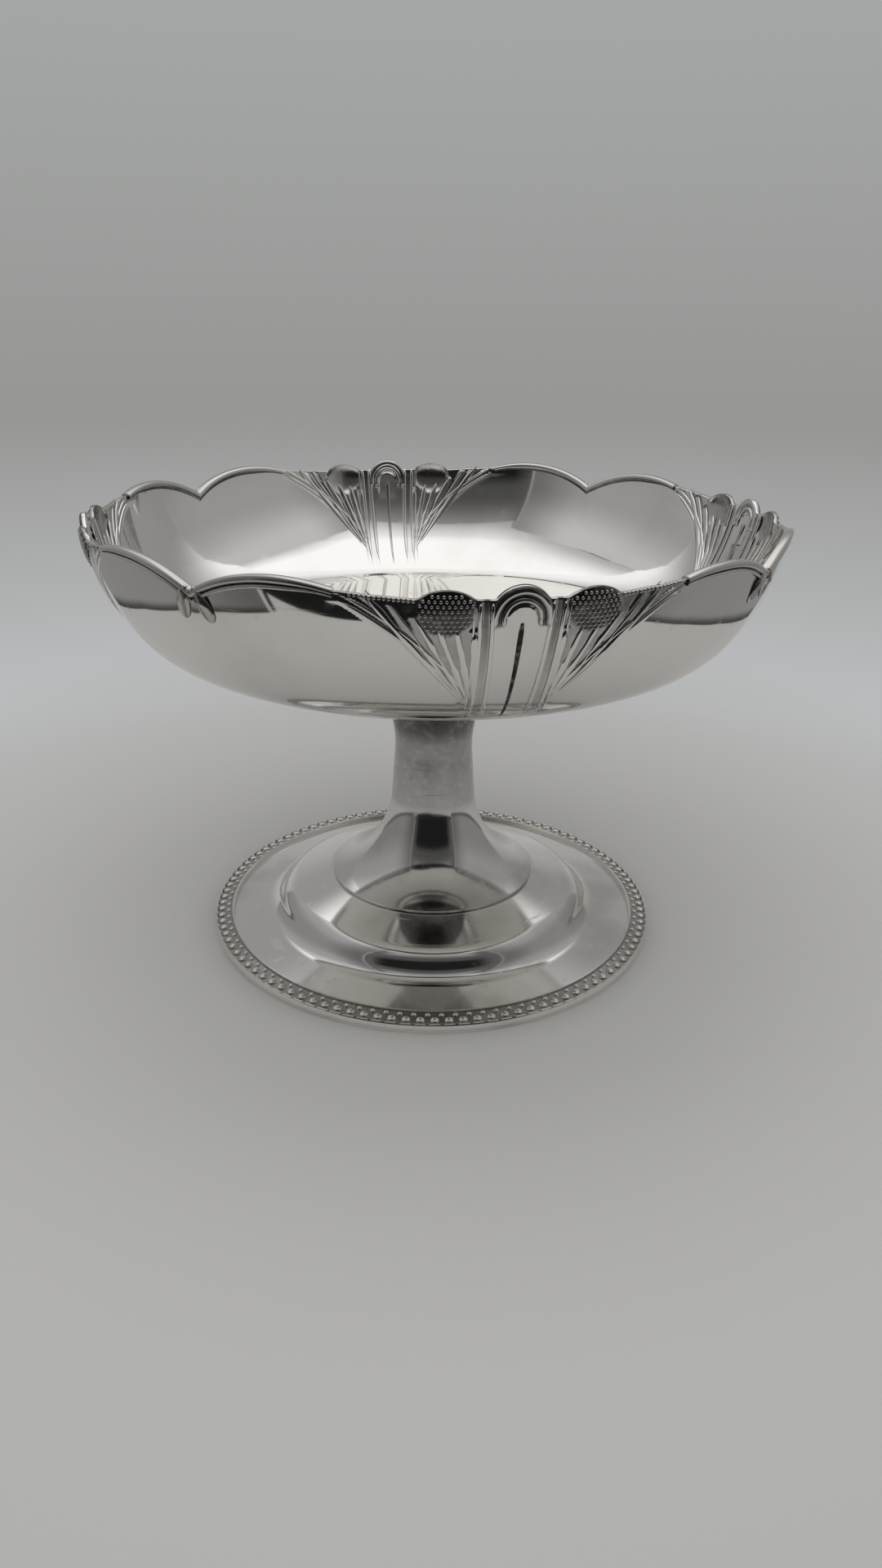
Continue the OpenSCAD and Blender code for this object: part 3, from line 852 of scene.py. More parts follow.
@dataclass
class HoodBeads:
    """Beads that fill the hoods, and fine teeth along the ramps."""

    bowl: Bowl
    pitch: float = 1.4 * MM
    row_share: float = 0.87
    reach: int = 6
    drop: float = 2.6 * MM
    least_high: float = 0.45
    edge_room: float = 0.8 * MM
    bead_r: float = 0.52 * MM
    teeth: int = 14
    teeth_gap: float = 0.8 * MM
    teeth_end: float = 21.5
    tooth_drop: float = 0.5 * MM
    tooth_r: float = 0.55 * MM
    shade: float = 0.7

    def spots(self) -> list[Triple]:
        """Places of the beads and teeth on one side of a panel.

        Returns:
            Distance from the panel's centre line, height and radius of each.
        """
        b, found = self.bowl, []
        for row in range(-self.reach, self.reach + 1):
            for col in range(-self.reach, self.reach + 1):
                x = b.hood_x + (col + 0.5 * (row % 2)) * self.pitch
                z = b.shoulder_z - self.drop + row * self.pitch * self.row_share
                if b.hood(x, z)[0] > self.least_high * b.high_relief and z < b.edge_at(x) - self.edge_room:
                    found.append((x, z, self.bead_r))
        for t in shares(self.teeth - 1):
            x = mix(b.ramp_x + self.teeth_gap, b.rim_r * sind(self.teeth_end), t)
            found.append((x, b.edge_at(x) - self.tooth_drop, self.tooth_r))
        return found

    def build(self) -> None:
        """Builds the beads and teeth of all panels as one piece."""
        bm = bmesh.new()
        mark = marks(bm)
        for x, z, size in self.spots():
            where = self.bowl.beside(x, z, self.bowl.relief(x, z)[0])
            ball = bmesh.ops.create_uvsphere(bm, u_segments=8, v_segments=5, radius=size)
            for v in ball["verts"]:
                # Painted shade on each bead's back half and round its foot, fading out towards its crown.
                v[mark] = self.shade * ease(0.5 * size, 0.0, -v.co.y)
                v.co += where
        mirrored(bm)
        repeated(bm, [*bm.verts, *bm.edges, *bm.faces], PANELS)
        make_piece("hood_beads", bm, SILVER_TRIM, Slot.TRIM)


def drawn(wide: float, start: float, stop: float) -> Curve:
    """Half width of a line that grows to its full width up to one share and draws in after another."""
    return lambda t: wide * min(ease(0.0, start, t), ease(1.0, stop, t))


def shaded(deep: float, low: float, high: float) -> Curve:
    """Painted shade of a line: dark low on its flanks, fading up its crown between two shares of its height."""
    return lambda crown: deep * (1 - ease(low, high, crown))


@dataclass
class Chasing:
    """Crisp lines of the four panels: reeds, ribs, arch mouldings, ridges and the leaves of the fans."""

    bowl: Bowl
    inside: bool = False
    facets: int = 12
    steps: int = 30
    arc_steps: int = 32
    leg_steps: int = 4
    leaf_steps: int = 24
    sunk: float = 0.25 * MM
    swell: float = 1.6
    reed_high: float = 0.85 * MM
    reed_drop: float = 0.4 * MM
    reed_fine: float = 0.55
    reed_ends: Point = (0.25, 0.97)
    reed_shade: Triple = (0.8, 0.1, 0.5)
    rib_high: float = 0.4 * MM
    rib_gap: float = 0.3 * MM
    rib_taper: float = 0.4
    rib_ends: Point = (0.1, 0.98)
    ring_high: float = 0.86 * MM
    ring_ends: Point = (0.04, 0.96)
    ring_shades: tuple[Triple, Triple] = ((0.9, 0.75, 1.0), (0.75, 0.75, 1.0))
    ridge_high: float = 0.65 * MM
    ridge_share: float = 0.8
    ridge_end: float = 0.97
    ridge_ends: Point = (0.3, 0.9)
    ridge_shade: Triple = (0.85, 0.1, 0.5)
    leaf_high: float = 0.75 * MM
    leaf_gap: float = 0.04 * MM
    leaf_start: float = 0.08
    leaf_swell: float = 12.0
    leaf_point: float = 0.72
    leaf_power: float = 1.5
    leaf_shade: Triple = (0.5, 0.0, 0.3)
    slit_half: float = 0.6 * MM

    def strand(self, path: Sequence[Point], half: Curve, high: float, dark: Curve) -> None:
        """Lays a rounded moulding with a sunk back along a path on a panel's face.

        Args:
            path: distance from the panel's centre line and height, point by point.
            half: half the moulding's width at a share of the path, nothing at both ends.
            high: height of its crown.
            dark: painted shade at a share of that height.
        """
        mark, b = marks(self.bm), self.bowl
        last = len(path) - 1
        widest = max(half(t) for t in shares(last))
        points = grid(self.bm, self.facets, last)
        for v, facet, k in points:
            (x0, z0), (x1, z1) = path[max(k - 1, 0)], path[min(k + 1, last)]
            run, wide, turn = hypot(x1 - x0, z1 - z0), half(k / last), tau * facet / self.facets
            x = path[k][0] + (z1 - z0) / run * wide * cos(turn)
            z = path[k][1] - (x1 - x0) / run * wide * cos(turn)
            crown = sin(turn)
            # Painted shade on the line's flanks and sunk back.
            v[mark] = dark(max(0.0, crown))
            out = min(1.0, self.swell * wide / widest) * crown * (high if crown > 0 else self.sunk)
            if self.inside:
                v[mark] *= b.inner_share
                out = -b.wall - b.inner_share * out
            v.co = b.beside(x, z, out)
        bmesh.ops.remove_doubles(self.bm, verts=[v for v, _, _ in points], dist=SEAM_MERGE)

    def reeds(self) -> None:
        """Lays the reeds of one pilaster, two broad and one fine."""
        b = self.bowl
        for off, share in ((-b.reed_off, 1.0), (b.reed_off, 1.0), (2 * b.reed_off, self.reed_fine)):
            top = b.edge_at(b.pilaster_x + off) - self.reed_drop
            heights = [mix(b.relief_foot_z, top, t) for t in shares(self.steps)]
            path = [(b.pilaster_at(z) + off, z) for z in heights]
            half = drawn(share * b.reed_half, *self.reed_ends)
            self.strand(path, half, self.reed_high * share, shaded(*self.reed_shade))

    def ridges(self) -> None:
        """Lays the two ridges along the outer edge of one fan."""
        b = self.bowl
        x, z = b.ridge_c
        ends = [atan2(end[1] - z, end[0] - x) for end in (b.fan_foot, b.fan_top)]
        turns = [mix(*ends, self.ridge_end * t) for t in shares(self.arc_steps)]
        for r in (b.ridge_r, b.ridge_r + b.ridge_gap):
            path = [(x + r * cos(a), z + r * sin(a)) for a in turns]
            half = drawn(self.ridge_share * b.ridge_half, *self.ridge_ends)
            self.strand(path, half, self.ridge_high, shaded(*self.ridge_shade))

    def leaves(self) -> None:
        """Lays the leaves of one fan, with slits where two of them part."""
        b = self.bowl
        for k, tip in enumerate(b.leaf_tips):
            upper, lower = b.leaf_edges[k : k + 2]
            middle, spread = (upper + lower) / 2, tan(radians((upper - lower) / 2))

            def half(t: float) -> float:
                """Half the leaf's width: it follows the fan, draws in at the slits and ends in a point."""
                share = mix(self.leaf_start, tip, t)
                wide = share * b.fan_l * spread - self.leaf_gap
                for low, top in b.slits[k : k + 2]:
                    if low < share < top:
                        s = (share - low) / (top - low)
                        wide -= self.slit_half * 4 * s * (1 - s)
                point = max(0.0, (t - self.leaf_point) / (1 - self.leaf_point)) ** self.leaf_power
                return max(0.0, wide) * min(1.0, self.leaf_swell * t) * (1 - point)

            ways = [mix(self.leaf_start, tip, t) * b.fan_l for t in shares(self.leaf_steps)]
            path = [(b.fan_foot[0] + w * cosd(middle), b.fan_foot[1] + w * sind(middle)) for w in ways]
            self.strand(path, half, self.leaf_high, shaded(*self.leaf_shade))

    def centre(self) -> None:
        """Lays the arch's mouldings and the rib under it."""
        b = self.bowl
        # The arch mouldings carry painted shade up to three quarters of their crown.
        for (r, wide), shade in zip((b.outer_ring, b.inner_ring), self.ring_shades):
            bow = [(r * cos(pi * t), b.arch_z + r * sin(pi * t)) for t in shares(self.arc_steps)]
            leg = [b.arch_z - b.leg_l * (1 - t) for t in shares(self.leg_steps)[:-1]]
            path = [(r, z) for z in leg] + bow + [(-r, z) for z in reversed(leg)]
            self.strand(path, drawn(wide, *self.ring_ends), self.ring_high, shaded(*shade))
        path = [(0.0, mix(b.relief_foot_z, b.arch_z - self.rib_gap, t)) for t in shares(self.steps)]
        full = drawn(b.rib_half, *self.rib_ends)
        # The rib carries full painted shade over its whole width.
        self.strand(path, lambda t: full(t) * mix(self.rib_taper, 1.0, t), self.rib_high, lambda crown: 1.0)

    def build(self) -> None:
        """Builds the lines of all panels, on one face of the sheet, as one piece."""
        self.bm = bm = bmesh.new()
        self.reeds()
        self.ridges()
        self.leaves()
        mirrored(bm)
        self.centre()
        bmesh.ops.recalc_face_normals(bm, faces=bm.faces)
        repeated(bm, [*bm.verts, *bm.edges, *bm.faces], PANELS)
        name = "panel_lines_inside" if self.inside else "panel_lines"
        make_piece(name, bm, SILVER, Slot.PLATE, crease=60.0)


@dataclass
class RimBorders:
    """Scroll mouldings that saddle the lobes' edges, with a pair of leaf tabs in each notch.

    The section gives distances out of the bowl's outer face and depths below the lobe's arc, in millimetres.
    """

    bowl: Bowl
    section: tuple[Point, ...] = (
        (0.06, 3.6), (0.42, 3.58), (0.72, 3.38), (0.82, 3.05), (0.74, 2.75), (0.45, 2.52), (0.22, 2.42),
        (0.20, 2.22), (0.48, 2.05), (0.84, 1.80), (0.97, 1.40), (0.97, 0.95), (0.84, 0.50), (0.50, 0.16),
        (0.0, 0.03), (-0.70, 0.02), (-1.40, 0.08), (-1.86, 0.26), (-2.10, 0.60), (-2.17, 1.10), (-2.14, 1.70),
        (-2.05, 2.25), (-1.85, 2.70), (-1.47, 2.95), (-1.46, 0.96), (0.06, 0.96), (0.06, 3.6),
    )
    groove: Point = (2.2, 2.5)
    stations: int = 44
    end_gap: float = 0.05 * MM
    start_share: float = 0.5
    grown_at: float = 0.35
    tab_half_l: float = 5.1 * MM
    tab_half_w: float = 2.3 * MM
    tab_tilt: float = 18.0
    tab_taper: float = 0.3
    tab_apart: float = 0.9
    tab_t: float = 0.95 * MM
    tab_over: float = 0.75 * MM
    tab_over_z: Point = (-5.5 * MM, -2.5 * MM)
    tab_lift: float = 0.06 * MM
    tab_rim: float = 0.25
    vein_at: float = 0.35
    vein_half: float = 0.25
    vein_deep: float = 0.45
    vein_dark: float = 0.6
    knuckle_r: float = 0.8 * MM
    knuckle_pitch: float = 1.9
    knuckle_drops: Triple = (-0.3, 0.6, -0.3)
    knuckle_out: float = 0.25 * MM

    def along(self, side: int, share: float, depth: float) -> Point:
        """Angle from the notch, in radians, and height of a point of a lobe's arc.

        Args:
            side: which of the two lobes, -1 or 1.
            share: share of the way from the border's start to the notch.
            depth: depth below the arc.

        Returns:
            The angle and the height.
        """
        b = self.bowl
        r = b.lobe_r - depth
        a = mix(asin((b.border_x - self.end_gap - b.lobe_x) / r), asin(-b.lobe_x / r), share)
        x, z = b.lobe_x + r * sin(a), b.lobe_z + r * cos(a)
        return side * asin(max(0.0, x) / b.wall_at(z)[0]), z

    def moulding(self, bm: Mesh, side: int, heading: float) -> None:
        """Adds one lobe's moulding: a grid is wrapped into the section and laid along the arc.

        Args:
            bm: mesh that takes it.
            side: which of the two lobes.
            heading: the notch's angle round the axis, in radians.
        """
        b, mark = self.bowl, marks(bm)
        for v, corner, station in grid(bm, len(self.section) - 1, self.stations):
            out, depth = (MM * size for size in self.section[corner])
            # Painted shade in the groove between the moulding's rolls.
            v[mark] = 1.0 if self.groove[0] < self.section[corner][1] < self.groove[1] else 0.0
            share = station / self.stations
            grown = mix(self.start_share, 1.0, ease(0.0, self.grown_at, share))
            depth = mix(b.border_cap, depth, grown) if depth > b.border_cap else depth
            angle, z = self.along(side, share, depth)
            v.co = b.place(heading + angle, z + out * cos(b.wall_at(z)[1]), out)

    def tab(self, bm: Mesh, side: int, heading: float) -> None:
        """Adds one leaf tab: a ball drawn out into a pointed leaf with a groove along it.

        Args:
            bm: mesh that takes it.
            side: which of the pair.
            heading: the notch's angle round the axis, in radians.
        """
        b, mark = self.bowl, marks(bm)
        tilt = radians(self.tab_tilt) * side
        low, high = (b.notch_z + z for z in self.tab_over_z)
        made = bmesh.ops.create_uvsphere(bm, u_segments=24, v_segments=18, radius=1.0)
        for v in made["verts"]:
            u, w, s = v.co
            down, across = (1 - s) * self.tab_half_l, u * self.tab_half_w * (1 - self.tab_taper * s)
            x = self.tab_apart * side * self.tab_half_w + across * cos(tilt) + down * sin(tilt)
            z = b.notch_z + b.border_cap - down * cos(tilt) + across * sin(tilt)
            vein = roll(u + self.vein_at * side, self.vein_half)
            thick = self.tab_t + self.tab_over * ease(low, high, z)
            # Painted shade along the leaf's vein and round its edge and back, where it meets the sheet.
            v[mark] = max(self.vein_dark * vein, ease(self.tab_rim, 0.0, -w))
            v.co = b.beside(x, z, max(0.0, -w) * thick * (1 - self.vein_deep * vein) + self.tab_lift, heading)

    def knuckles(self, bm: Mesh, heading: float) -> None:
        """Adds the three small knobs where the mouldings and the leaf tabs meet in a notch.

        Args:
            bm: mesh that takes them.
            heading: the notch's angle round the axis, in radians.
        """
        b, mark, r = self.bowl, marks(bm), self.knuckle_r
        for step, drop in zip((-1, 0, 1), self.knuckle_drops):
            angle = heading + step * self.knuckle_pitch * r / b.rim_r
            where = b.place(angle, b.notch_z - drop * r, self.knuckle_out)
            made = bmesh.ops.create_uvsphere(bm, u_segments=12, v_segments=8, radius=r)
            for v in made["verts"]:
                # Painted shade on each knob's lower half.
                v[mark] = ease(0.0, -0.5 * r, v.co.z)
                v.co += where

    def build(self) -> None:
        """Builds the four borders."""
        for k in range(PANELS):
            heading = tau / PANELS * k + pi / PANELS + FRONT
            bm = bmesh.new()
            for side in (-1, 1):
                self.moulding(bm, side, heading)
            bmesh.ops.remove_doubles(bm, verts=bm.verts, dist=SEAM_MERGE)
            bmesh.ops.holes_fill(bm, edges=[e for e in bm.edges if e.is_boundary])
            for side in (-1, 1):
                self.tab(bm, side, heading)
            self.knuckles(bm, heading)
            bmesh.ops.recalc_face_normals(bm, faces=bm.faces)
            nodes = [f"rim_border_{k + 1}"]
            make_piece(f"lobe_border_{k + 1}", bm, SILVER_TRIM, Slot.TRIM, nodes, crease=50.0)


@dataclass
class Foot:
    """Spun foot: flange, domed step and seat, on a plain ring."""

    sheet_r: float = 82.4 * MM
    edge_z: float = 2.6 * MM
    wall: float = 1.2 * MM
    dome_r: float = 63.8 * MM
    fillet_r: float = 8.0 * MM
    riser_l: float = 1.331 * MM
    shoulder_r: float = 10.0 * MM
    seat_r: float = 39.4 * MM
    hole_r: float = 3.3 * MM
    flange_slope: float = 6.0
    riser_slope: float = 60.0
    shoulder_slope: float = 19.0
    arc_step: float = 3.0
    ring_w: float = 4.0 * MM
    ring_edge: float = 0.35 * MM
    gap: float = 0.01 * MM

    def __post_init__(self) -> None:
        """Lays the path of the upper face, from its edge inwards, and finds the seat's height."""
        flange, riser, shoulder = self.flange_slope, self.riser_slope, self.shoulder_slope
        edge_r = self.dome_r - self.fillet_r * (sind(riser) - sind(flange)) - self.riser_l * cosd(riser)
        edge_r -= self.shoulder_r * (sind(riser) - sind(shoulder))
        start, heading = (self.sheet_r, self.edge_z), 180 - flange
        moves = (
            Move((self.sheet_r - self.dome_r) / cosd(flange)),
            Move(self.fillet_r, flange - riser),
            Move(self.riser_l),
            Move(self.shoulder_r, riser - shoulder),
            Move((edge_r - self.seat_r) / cosd(shoulder)),
            Move(2 * self.wall, shoulder),
        )
        end_r, self.seat_z = Trail(start, heading, moves).points(self.arc_step)[-1]
        self.trail = Trail(start, heading, moves + (Move(end_r - self.hole_r),))

    def flange_z(self, r: float) -> float:
        """Height of the flange's upper face at a radius."""
        return self.edge_z + (self.sheet_r - r) * tan(radians(self.flange_slope))

    def under_z(self, r: float) -> float:
        """Height just below the flange's sheet at a radius."""
        return self.flange_z(r) - self.wall / cosd(self.flange_slope) - self.gap

    def build(self) -> None:
        """Builds the foot's sheet and the ring under its edge."""
        inner = self.trail.beside(self.wall)
        profile = self.trail.points(self.arc_step) + inner.points(self.arc_step)[::-1]
        make_piece("foot_spinning", spun(profile), SILVER_WORN, Slot.PLATE, ["foot"], crease=30.0)
        low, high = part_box("base_ring")
        out, base, edge = high[0], low[2], self.ring_edge
        side = out - self.ring_w
        profile = [
            (side, base), (out - edge, base), (out - edge / 4, base + edge / 4), (out, base + edge),
            (out, self.under_z(out)), (side, self.under_z(side)),
        ]
        make_piece("base_spinning", spun(profile), SILVER_WORN, Slot.PLATE, ["base_ring"], crease=50.0)


@dataclass
class FootBorder:
    """Cast border round the foot: a sloping band with plain fillets and three rows of beads."""

    foot: Foot
    band_w: float = 6.7 * MM
    band_t: float = 1.1 * MM
    fillet_w: float = 0.8 * MM
    fillet_h: float = 0.5 * MM
    edge: float = 0.16 * MM
    skirt_gap: float = 0.05 * MM
    main_half: float = 1.5 * MM
    main_h: float = 0.9 * MM
    main_gap: float = 0.1 * MM
    main_faces: tuple[int, int] = (10, 8)
    small_half: float = 0.95 * MM
    small_h: float = 0.6 * MM
    small_faces: tuple[int, int] = (8, 6)
    rim_half: Point = (1.3 * MM, 0.5 * MM)
    rim_h: float = 0.75 * MM
    rim_in: float = 0.55 * MM
    bead_cut: float = -0.45
    beads: int = 108
    shade: float = 0.75
    shade_z: float = 0.2 * MM

    def __post_init__(self) -> None:
        """Works out the band's slope from the frame."""
        self.out_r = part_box("foot_border")[1][0]
        self.in_r = self.out_r - self.band_w
        self.in_z = self.foot.flange_z(self.in_r) + self.band_t
        self.fall = (self.in_z - self.foot.edge_z - self.band_t / 2) / self.band_w
        self.main_r = self.out_r - self.fillet_w - self.main_half - self.main_gap
        self.small_r = self.main_r - self.main_half - self.small_half

    def band_z(self, r: float) -> float:
        """Height of the band at a radius."""
        return self.in_z - (r - self.in_r) * self.fall

    def fillet(self, out: float) -> list[Point]:
        """Section of a plain fillet with eased edges.

        Args:
            out: radius of its outer side.

        Returns:
            Radius and height of each point, inwards.
        """
        edge, end = self.edge, out - self.fillet_w
        high, low = self.band_z(end) + self.fillet_h, self.band_z(out) + self.fillet_h
        return [(out, low - edge), (out - edge, low), (end + edge, high), (end, high - edge)]

    def row(self, bm: Mesh, r: float, half: Point, high: float, turn: float, faces: tuple[int, int]) -> None:
        """Adds a row of beads: one is shaped and then turned round the axis.

        Args:
            bm: mesh that takes them.
            r: radius of the row.
            half: half the length along the row and half the width across it.
            high: height above the band.
            turn: share of a pitch by which the row is turned.
            faces: counts of segments and rings of one bead.
        """
        tilt = Matrix.Rotation(atan(self.fall), 4, "Y")
        shape = Matrix.Translation((r, 0, self.band_z(r))) @ tilt @ Matrix.Diagonal((half[1], half[0], high, 1.0))
        start = Matrix.Rotation(tau / self.beads * turn, 4, "Z") @ shape
        ball = bmesh.ops.create_uvsphere(
            bm, u_segments=faces[0], v_segments=faces[1], radius=1.0, matrix=Matrix.Rotation(pi / 2, 4, "X")
        )["verts"]
        bmesh.ops.delete(bm, geom=[v for v in ball if v.co.z < self.bead_cut], context="VERTS")
        kept = [v for v in ball if v.is_valid]
        bmesh.ops.transform(bm, matrix=start, verts=kept)
        joined = dict.fromkeys(g for v in kept for g in (*v.link_edges, *v.link_faces))
        repeated(bm, [*kept, *joined], self.beads)

    def build(self) -> None:
        """Builds the band and its beads as one cast piece."""
        f, skirt_r = self.foot, self.foot.sheet_r + self.skirt_gap
        out_end, in_end = self.out_r - self.fillet_w, self.in_r + self.fillet_w
        under = f.edge_z - f.wall / cosd(f.flange_slope)
        profile = [(r, f.flange_z(r) + f.gap) for r in (self.in_r, skirt_r)] + [(skirt_r, under), (self.out_r, under)]
        profile += self.fillet(self.out_r) + [(r, self.band_z(r)) for r in (out_end, in_end)] + self.fillet(in_end)
        bm = spun(profile)
        mark = marks(bm)
        # Painted shade on the band between the two fillets, under and between the beads.
        for v in bm.verts:
            between = self.in_r + self.fillet_w / 2 < hypot(v.co.x, v.co.y) < self.out_r - self.fillet_w / 2
            v[mark] = self.shade if between and v.co.z > f.edge_z + self.shade_z else 0.0
        self.row(bm, self.main_r, (self.main_half, self.main_half), self.main_h, 0.0, self.main_faces)
        self.row(bm, self.small_r, (self.small_half, self.small_half), self.small_h, 0.5, self.small_faces)
        self.row(bm, self.out_r - self.rim_in, self.rim_half, self.rim_h, 0.5, self.small_faces)
        make_piece("beaded_border", bm, SILVER_BEAD, Slot.TRIM, ["foot_border"], crease=50.0)


@dataclass
class Stem:
    """Hollow spun stem: a flared skirt on the foot, a waist, and a mouth under the bowl."""

    bowl: Bowl
    foot: Foot
    wall: float = 1.2 * MM
    skirt_r: float = 38.0 * MM
    skirt_lip: float = 1.0 * MM
    skirt_edge: float = 0.25 * MM
    flare_share: float = 0.42
    waist_share: float = 0.59
    skirt_slope: float = 20.0
    cone_slope: float = 86.0
    mouth_slope: float = 48.0
    overlap: float = 3.0 * MM
    gap: float = 0.02 * MM
    arc_step: float = 1.5
    columns: int = 180
    painted_shade_bands: tuple[Triple, ...] = ((44 * MM, 53 * MM, 0.55), (71 * MM, 79 * MM, 0.9))

    def build(self) -> None:
        """Builds the stem, cut level on the foot and to the bowl's floor at its mouth."""
        b, skirt, cone, mouth = self.bowl, self.skirt_slope, self.cone_slope, self.mouth_slope
        start = (self.skirt_r, self.foot.seat_z + self.skirt_lip)
        tall = b.floor_z + self.overlap - start[1]
        flare_r, waist_r = tall * self.flare_share, tall * self.waist_share
        rise = flare_r * (cosd(skirt) - cosd(cone)) + waist_r * (cosd(mouth) + cosd(cone))
        moves = (Move(flare_r, skirt - cone), Move((tall - rise) / sind(cone)), Move(waist_r, mouth - 180 + cone))
        trail = Trail(start, 180 - skirt, moves)
        level = self.foot.seat_z + self.gap
        profile = [(self.skirt_r - self.skirt_edge, level)] + trail.points(self.arc_step)
        profile += trail.beside(self.wall).points(self.arc_step)[::-1]
        cut = []
        for r, z in profile:
            top = b.floor_z + b.floor_r - sqrt(b.floor_r**2 - r**2)
            cut.append((r, min(max(z, level), top - self.gap)))
        bm = spun(cut, self.columns)
        mark = marks(bm)
        # Painted shade on the upper stem, deepest just under the bowl.
        for v in bm.verts:
            v[mark] = climb(v.co.z, 0.0, self.painted_shade_bands)
        make_piece("stem_spinning", bm, SILVER_STEM, Slot.PLATE, ["stem"], crease=35.0)


class Fastening:
    """The boss, rod, disc, washer and nut, whose solids are shown as they are."""

    FINISHES = {"bowl_boss": BRASS, "clamp_disc": BRASS, "tie_rod": STEEL, "washer": STEEL, "nut": STEEL}

    def build(self) -> None:
        """Gives each solid its finish."""
        for node, finish in self.FINISHES.items():
            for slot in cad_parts[node].material_slots:
                slot.material = finish.material()
            LOG.info("%s: %s", node, finish.name)


@dataclass
class Studio:
    """Pale floor and soft light round the part, and the camera.

    Places in the studio are given from the camera's side: to its right, ahead of it past the part's axis, and up.
    Only the camera's eye, the upper lamp and the point that the lamps are aimed at are given in the part's frame.
    """

    eye: Triple = (-71.44 * MM, -368.36 * MM, 216.95 * MM)
    heading: float = 11.42
    pitch: float = 23.7214
    roll: float = 0.8601
    lens: float = 25.133
    sensor: float = 36.0
    near: float = 0.01
    floor_r: float = 3.0
    floor_colour: Triple = (0.505, 0.50, 0.485)
    floor_roughness: float = 0.9
    floor_fade: Point = (0.16, 0.42)
    tent_left: tuple[Point, ...] = (
        (-0.200, -0.205), (-0.245, -0.135), (-0.276, -0.058), (-0.290, 0.06), (-0.282, 0.25)
    )
    tent_right: tuple[Point, ...] = (
        (0.210, -0.190), (0.240, -0.118), (0.258, -0.042), (0.270, 0.06), (0.271, 0.25)
    )
    tent_h: float = 0.5
    top_over: float = 0.06
    seam: Point = (-0.010, -0.001)
    seam_tone: float = 0.02
    glint: Point = (0.004, 0.006)
    glint_tone: float = 0.45
    floor_front: tuple[Point, ...] = (
        (-1.2, -0.42), (-0.23, -0.250), (-0.17, -0.244), (-0.12, -0.249), (-0.09, -0.256), (-0.065, -0.263),
        (-0.03, -0.276), (0.0, -0.30), (1.2, -0.32),
    )
    front_end: float = -1.6
    front_z: float = 0.3 * MM
    front_tone: float = 0.012
    dark_wall: tuple[Point, ...] = ((-0.45, -0.46), (0.45, -0.46))
    dark_h: float = 1.0
    wall_foot: float = 0.06
    wall_steps: tuple[Triple, ...] = ((0.002, 0.02, 0.25), (0.07, 0.24, 0.36), (0.26, 0.42, 0.60))
    mouth_share: float = 0.45
    mouth_steps: tuple[Triple, ...] = ((-0.22, -0.06, 1.0),)
    top_tones: Triple = (0.35, 0.5, 1.2)
    top_mouth: Point = (-0.32, -0.08)
    top_left: Point = (-0.28, -0.08)
    top_right: Point = (0.29, 0.17)
    back_foot: float = 0.46
    back_steps: tuple[Triple, ...] = ((0.0, 0.16, 0.32), (0.24, 0.44, 1.1))
    dark_foot: float = 0.01
    dark_steps: tuple[Triple, ...] = ((0.27, 0.38, 0.08), (0.42, 0.8, 0.33))
    dark_sides: Point = (0.33, 0.42)
    room_tone: float = 0.11
    soft_tones: Point = (1.14, 0.42)
    sky: tuple[tuple[float, float, float, float], ...] = (
        (0.0, 0.38, 1.0, 0.96), (0.12, 0.40, 1.0, 0.96), (0.26, 0.46, 0.985, 1.0), (0.285, 0.49, 0.975, 1.02),
        (0.337, 0.525, 0.97, 1.02), (0.40, 0.41, 0.985, 1.0), (0.456, 0.305, 1.0, 0.975), (0.60, 0.385, 0.97, 0.985),
    )
    top_lamp_at: Triple = (0.0, 0.05, 0.62)
    top_lamp_size: Point = (0.5, 0.36)
    top_lamp_power: float = 0.85
    front_lamp_at: Triple = (0.0, -0.32, 0.40)
    front_lamp_size: Point = (0.7, 0.3)
    front_lamp_power: float = 0.42
    aim: Triple = (0.0, 0.0, 0.1)
    columns: int = 12
    rows: int = 48

    def camera(self) -> None:
        """Places the camera at the photograph's viewing angle."""
        h, p, t = self.heading, self.pitch, self.roll
        ahead = Vector((sind(h) * cosd(p), cosd(h) * cosd(p), -sind(p)))
        right = Vector((cosd(h), -sind(h), 0.0))
        up = right.cross(ahead)
        axes = (cosd(t) * right + sind(t) * up, -sind(t) * right + cosd(t) * up, -ahead)
        data = bpy.data.cameras.new("camera")
        data.sensor_width, data.lens, data.clip_start = self.sensor, self.lens, self.near
        obj = placed("camera", data)
        obj.matrix_world = Matrix.Translation(self.eye) @ Matrix(axes).transposed().to_4x4()
        bpy.context.scene.camera = obj

    def spot(self, right: float, ahead: float, high: float) -> Vector:
        """Point of the part's frame at a place in the studio."""
        h = self.heading
        return Vector((right * cosd(h) + ahead * sind(h), ahead * cosd(h) - right * sind(h), high))

    def card(self, name: str, low: Sequence[Triple], high: Sequence[Triple], tone: Callable[[Vector], float]) -> None:
        """Adds a glowing card that only reflections see.

        Args:
            name: the card's name.
            low: places along one edge.
            high: as many places along the edge opposite.
            tone: brightness at a place on the card.
        """
        bm = bmesh.new()
        mark = bm.verts.layers.float.new("tone")
        count = len(low) - 1
        for v, column, row in grid(bm, self.columns * count, self.rows):
            k = min(column // self.columns, count - 1)
            t = column / self.columns - k
            near, far = (Vector(edge[k]).lerp(Vector(edge[k + 1]), t) for edge in (low, high))
            where = near.lerp(far, (row / self.rows) ** 2)
            v[mark] = tone(where)
            v.co = self.spot(*where)
        obj = meshed(name, bm, self.glow())
        obj.visible_camera = obj.visible_diffuse = obj.visible_shadow = False

    def upright(
        self, name: str, path: Sequence[Point], high: float, tone: Callable[[Vector], float], low: float = 0.0
    ) -> None:
        """Adds a card that stands along a path, between two heights."""
        self.card(name, [(*p, low) for p in path], [(*p, high) for p in path], tone)

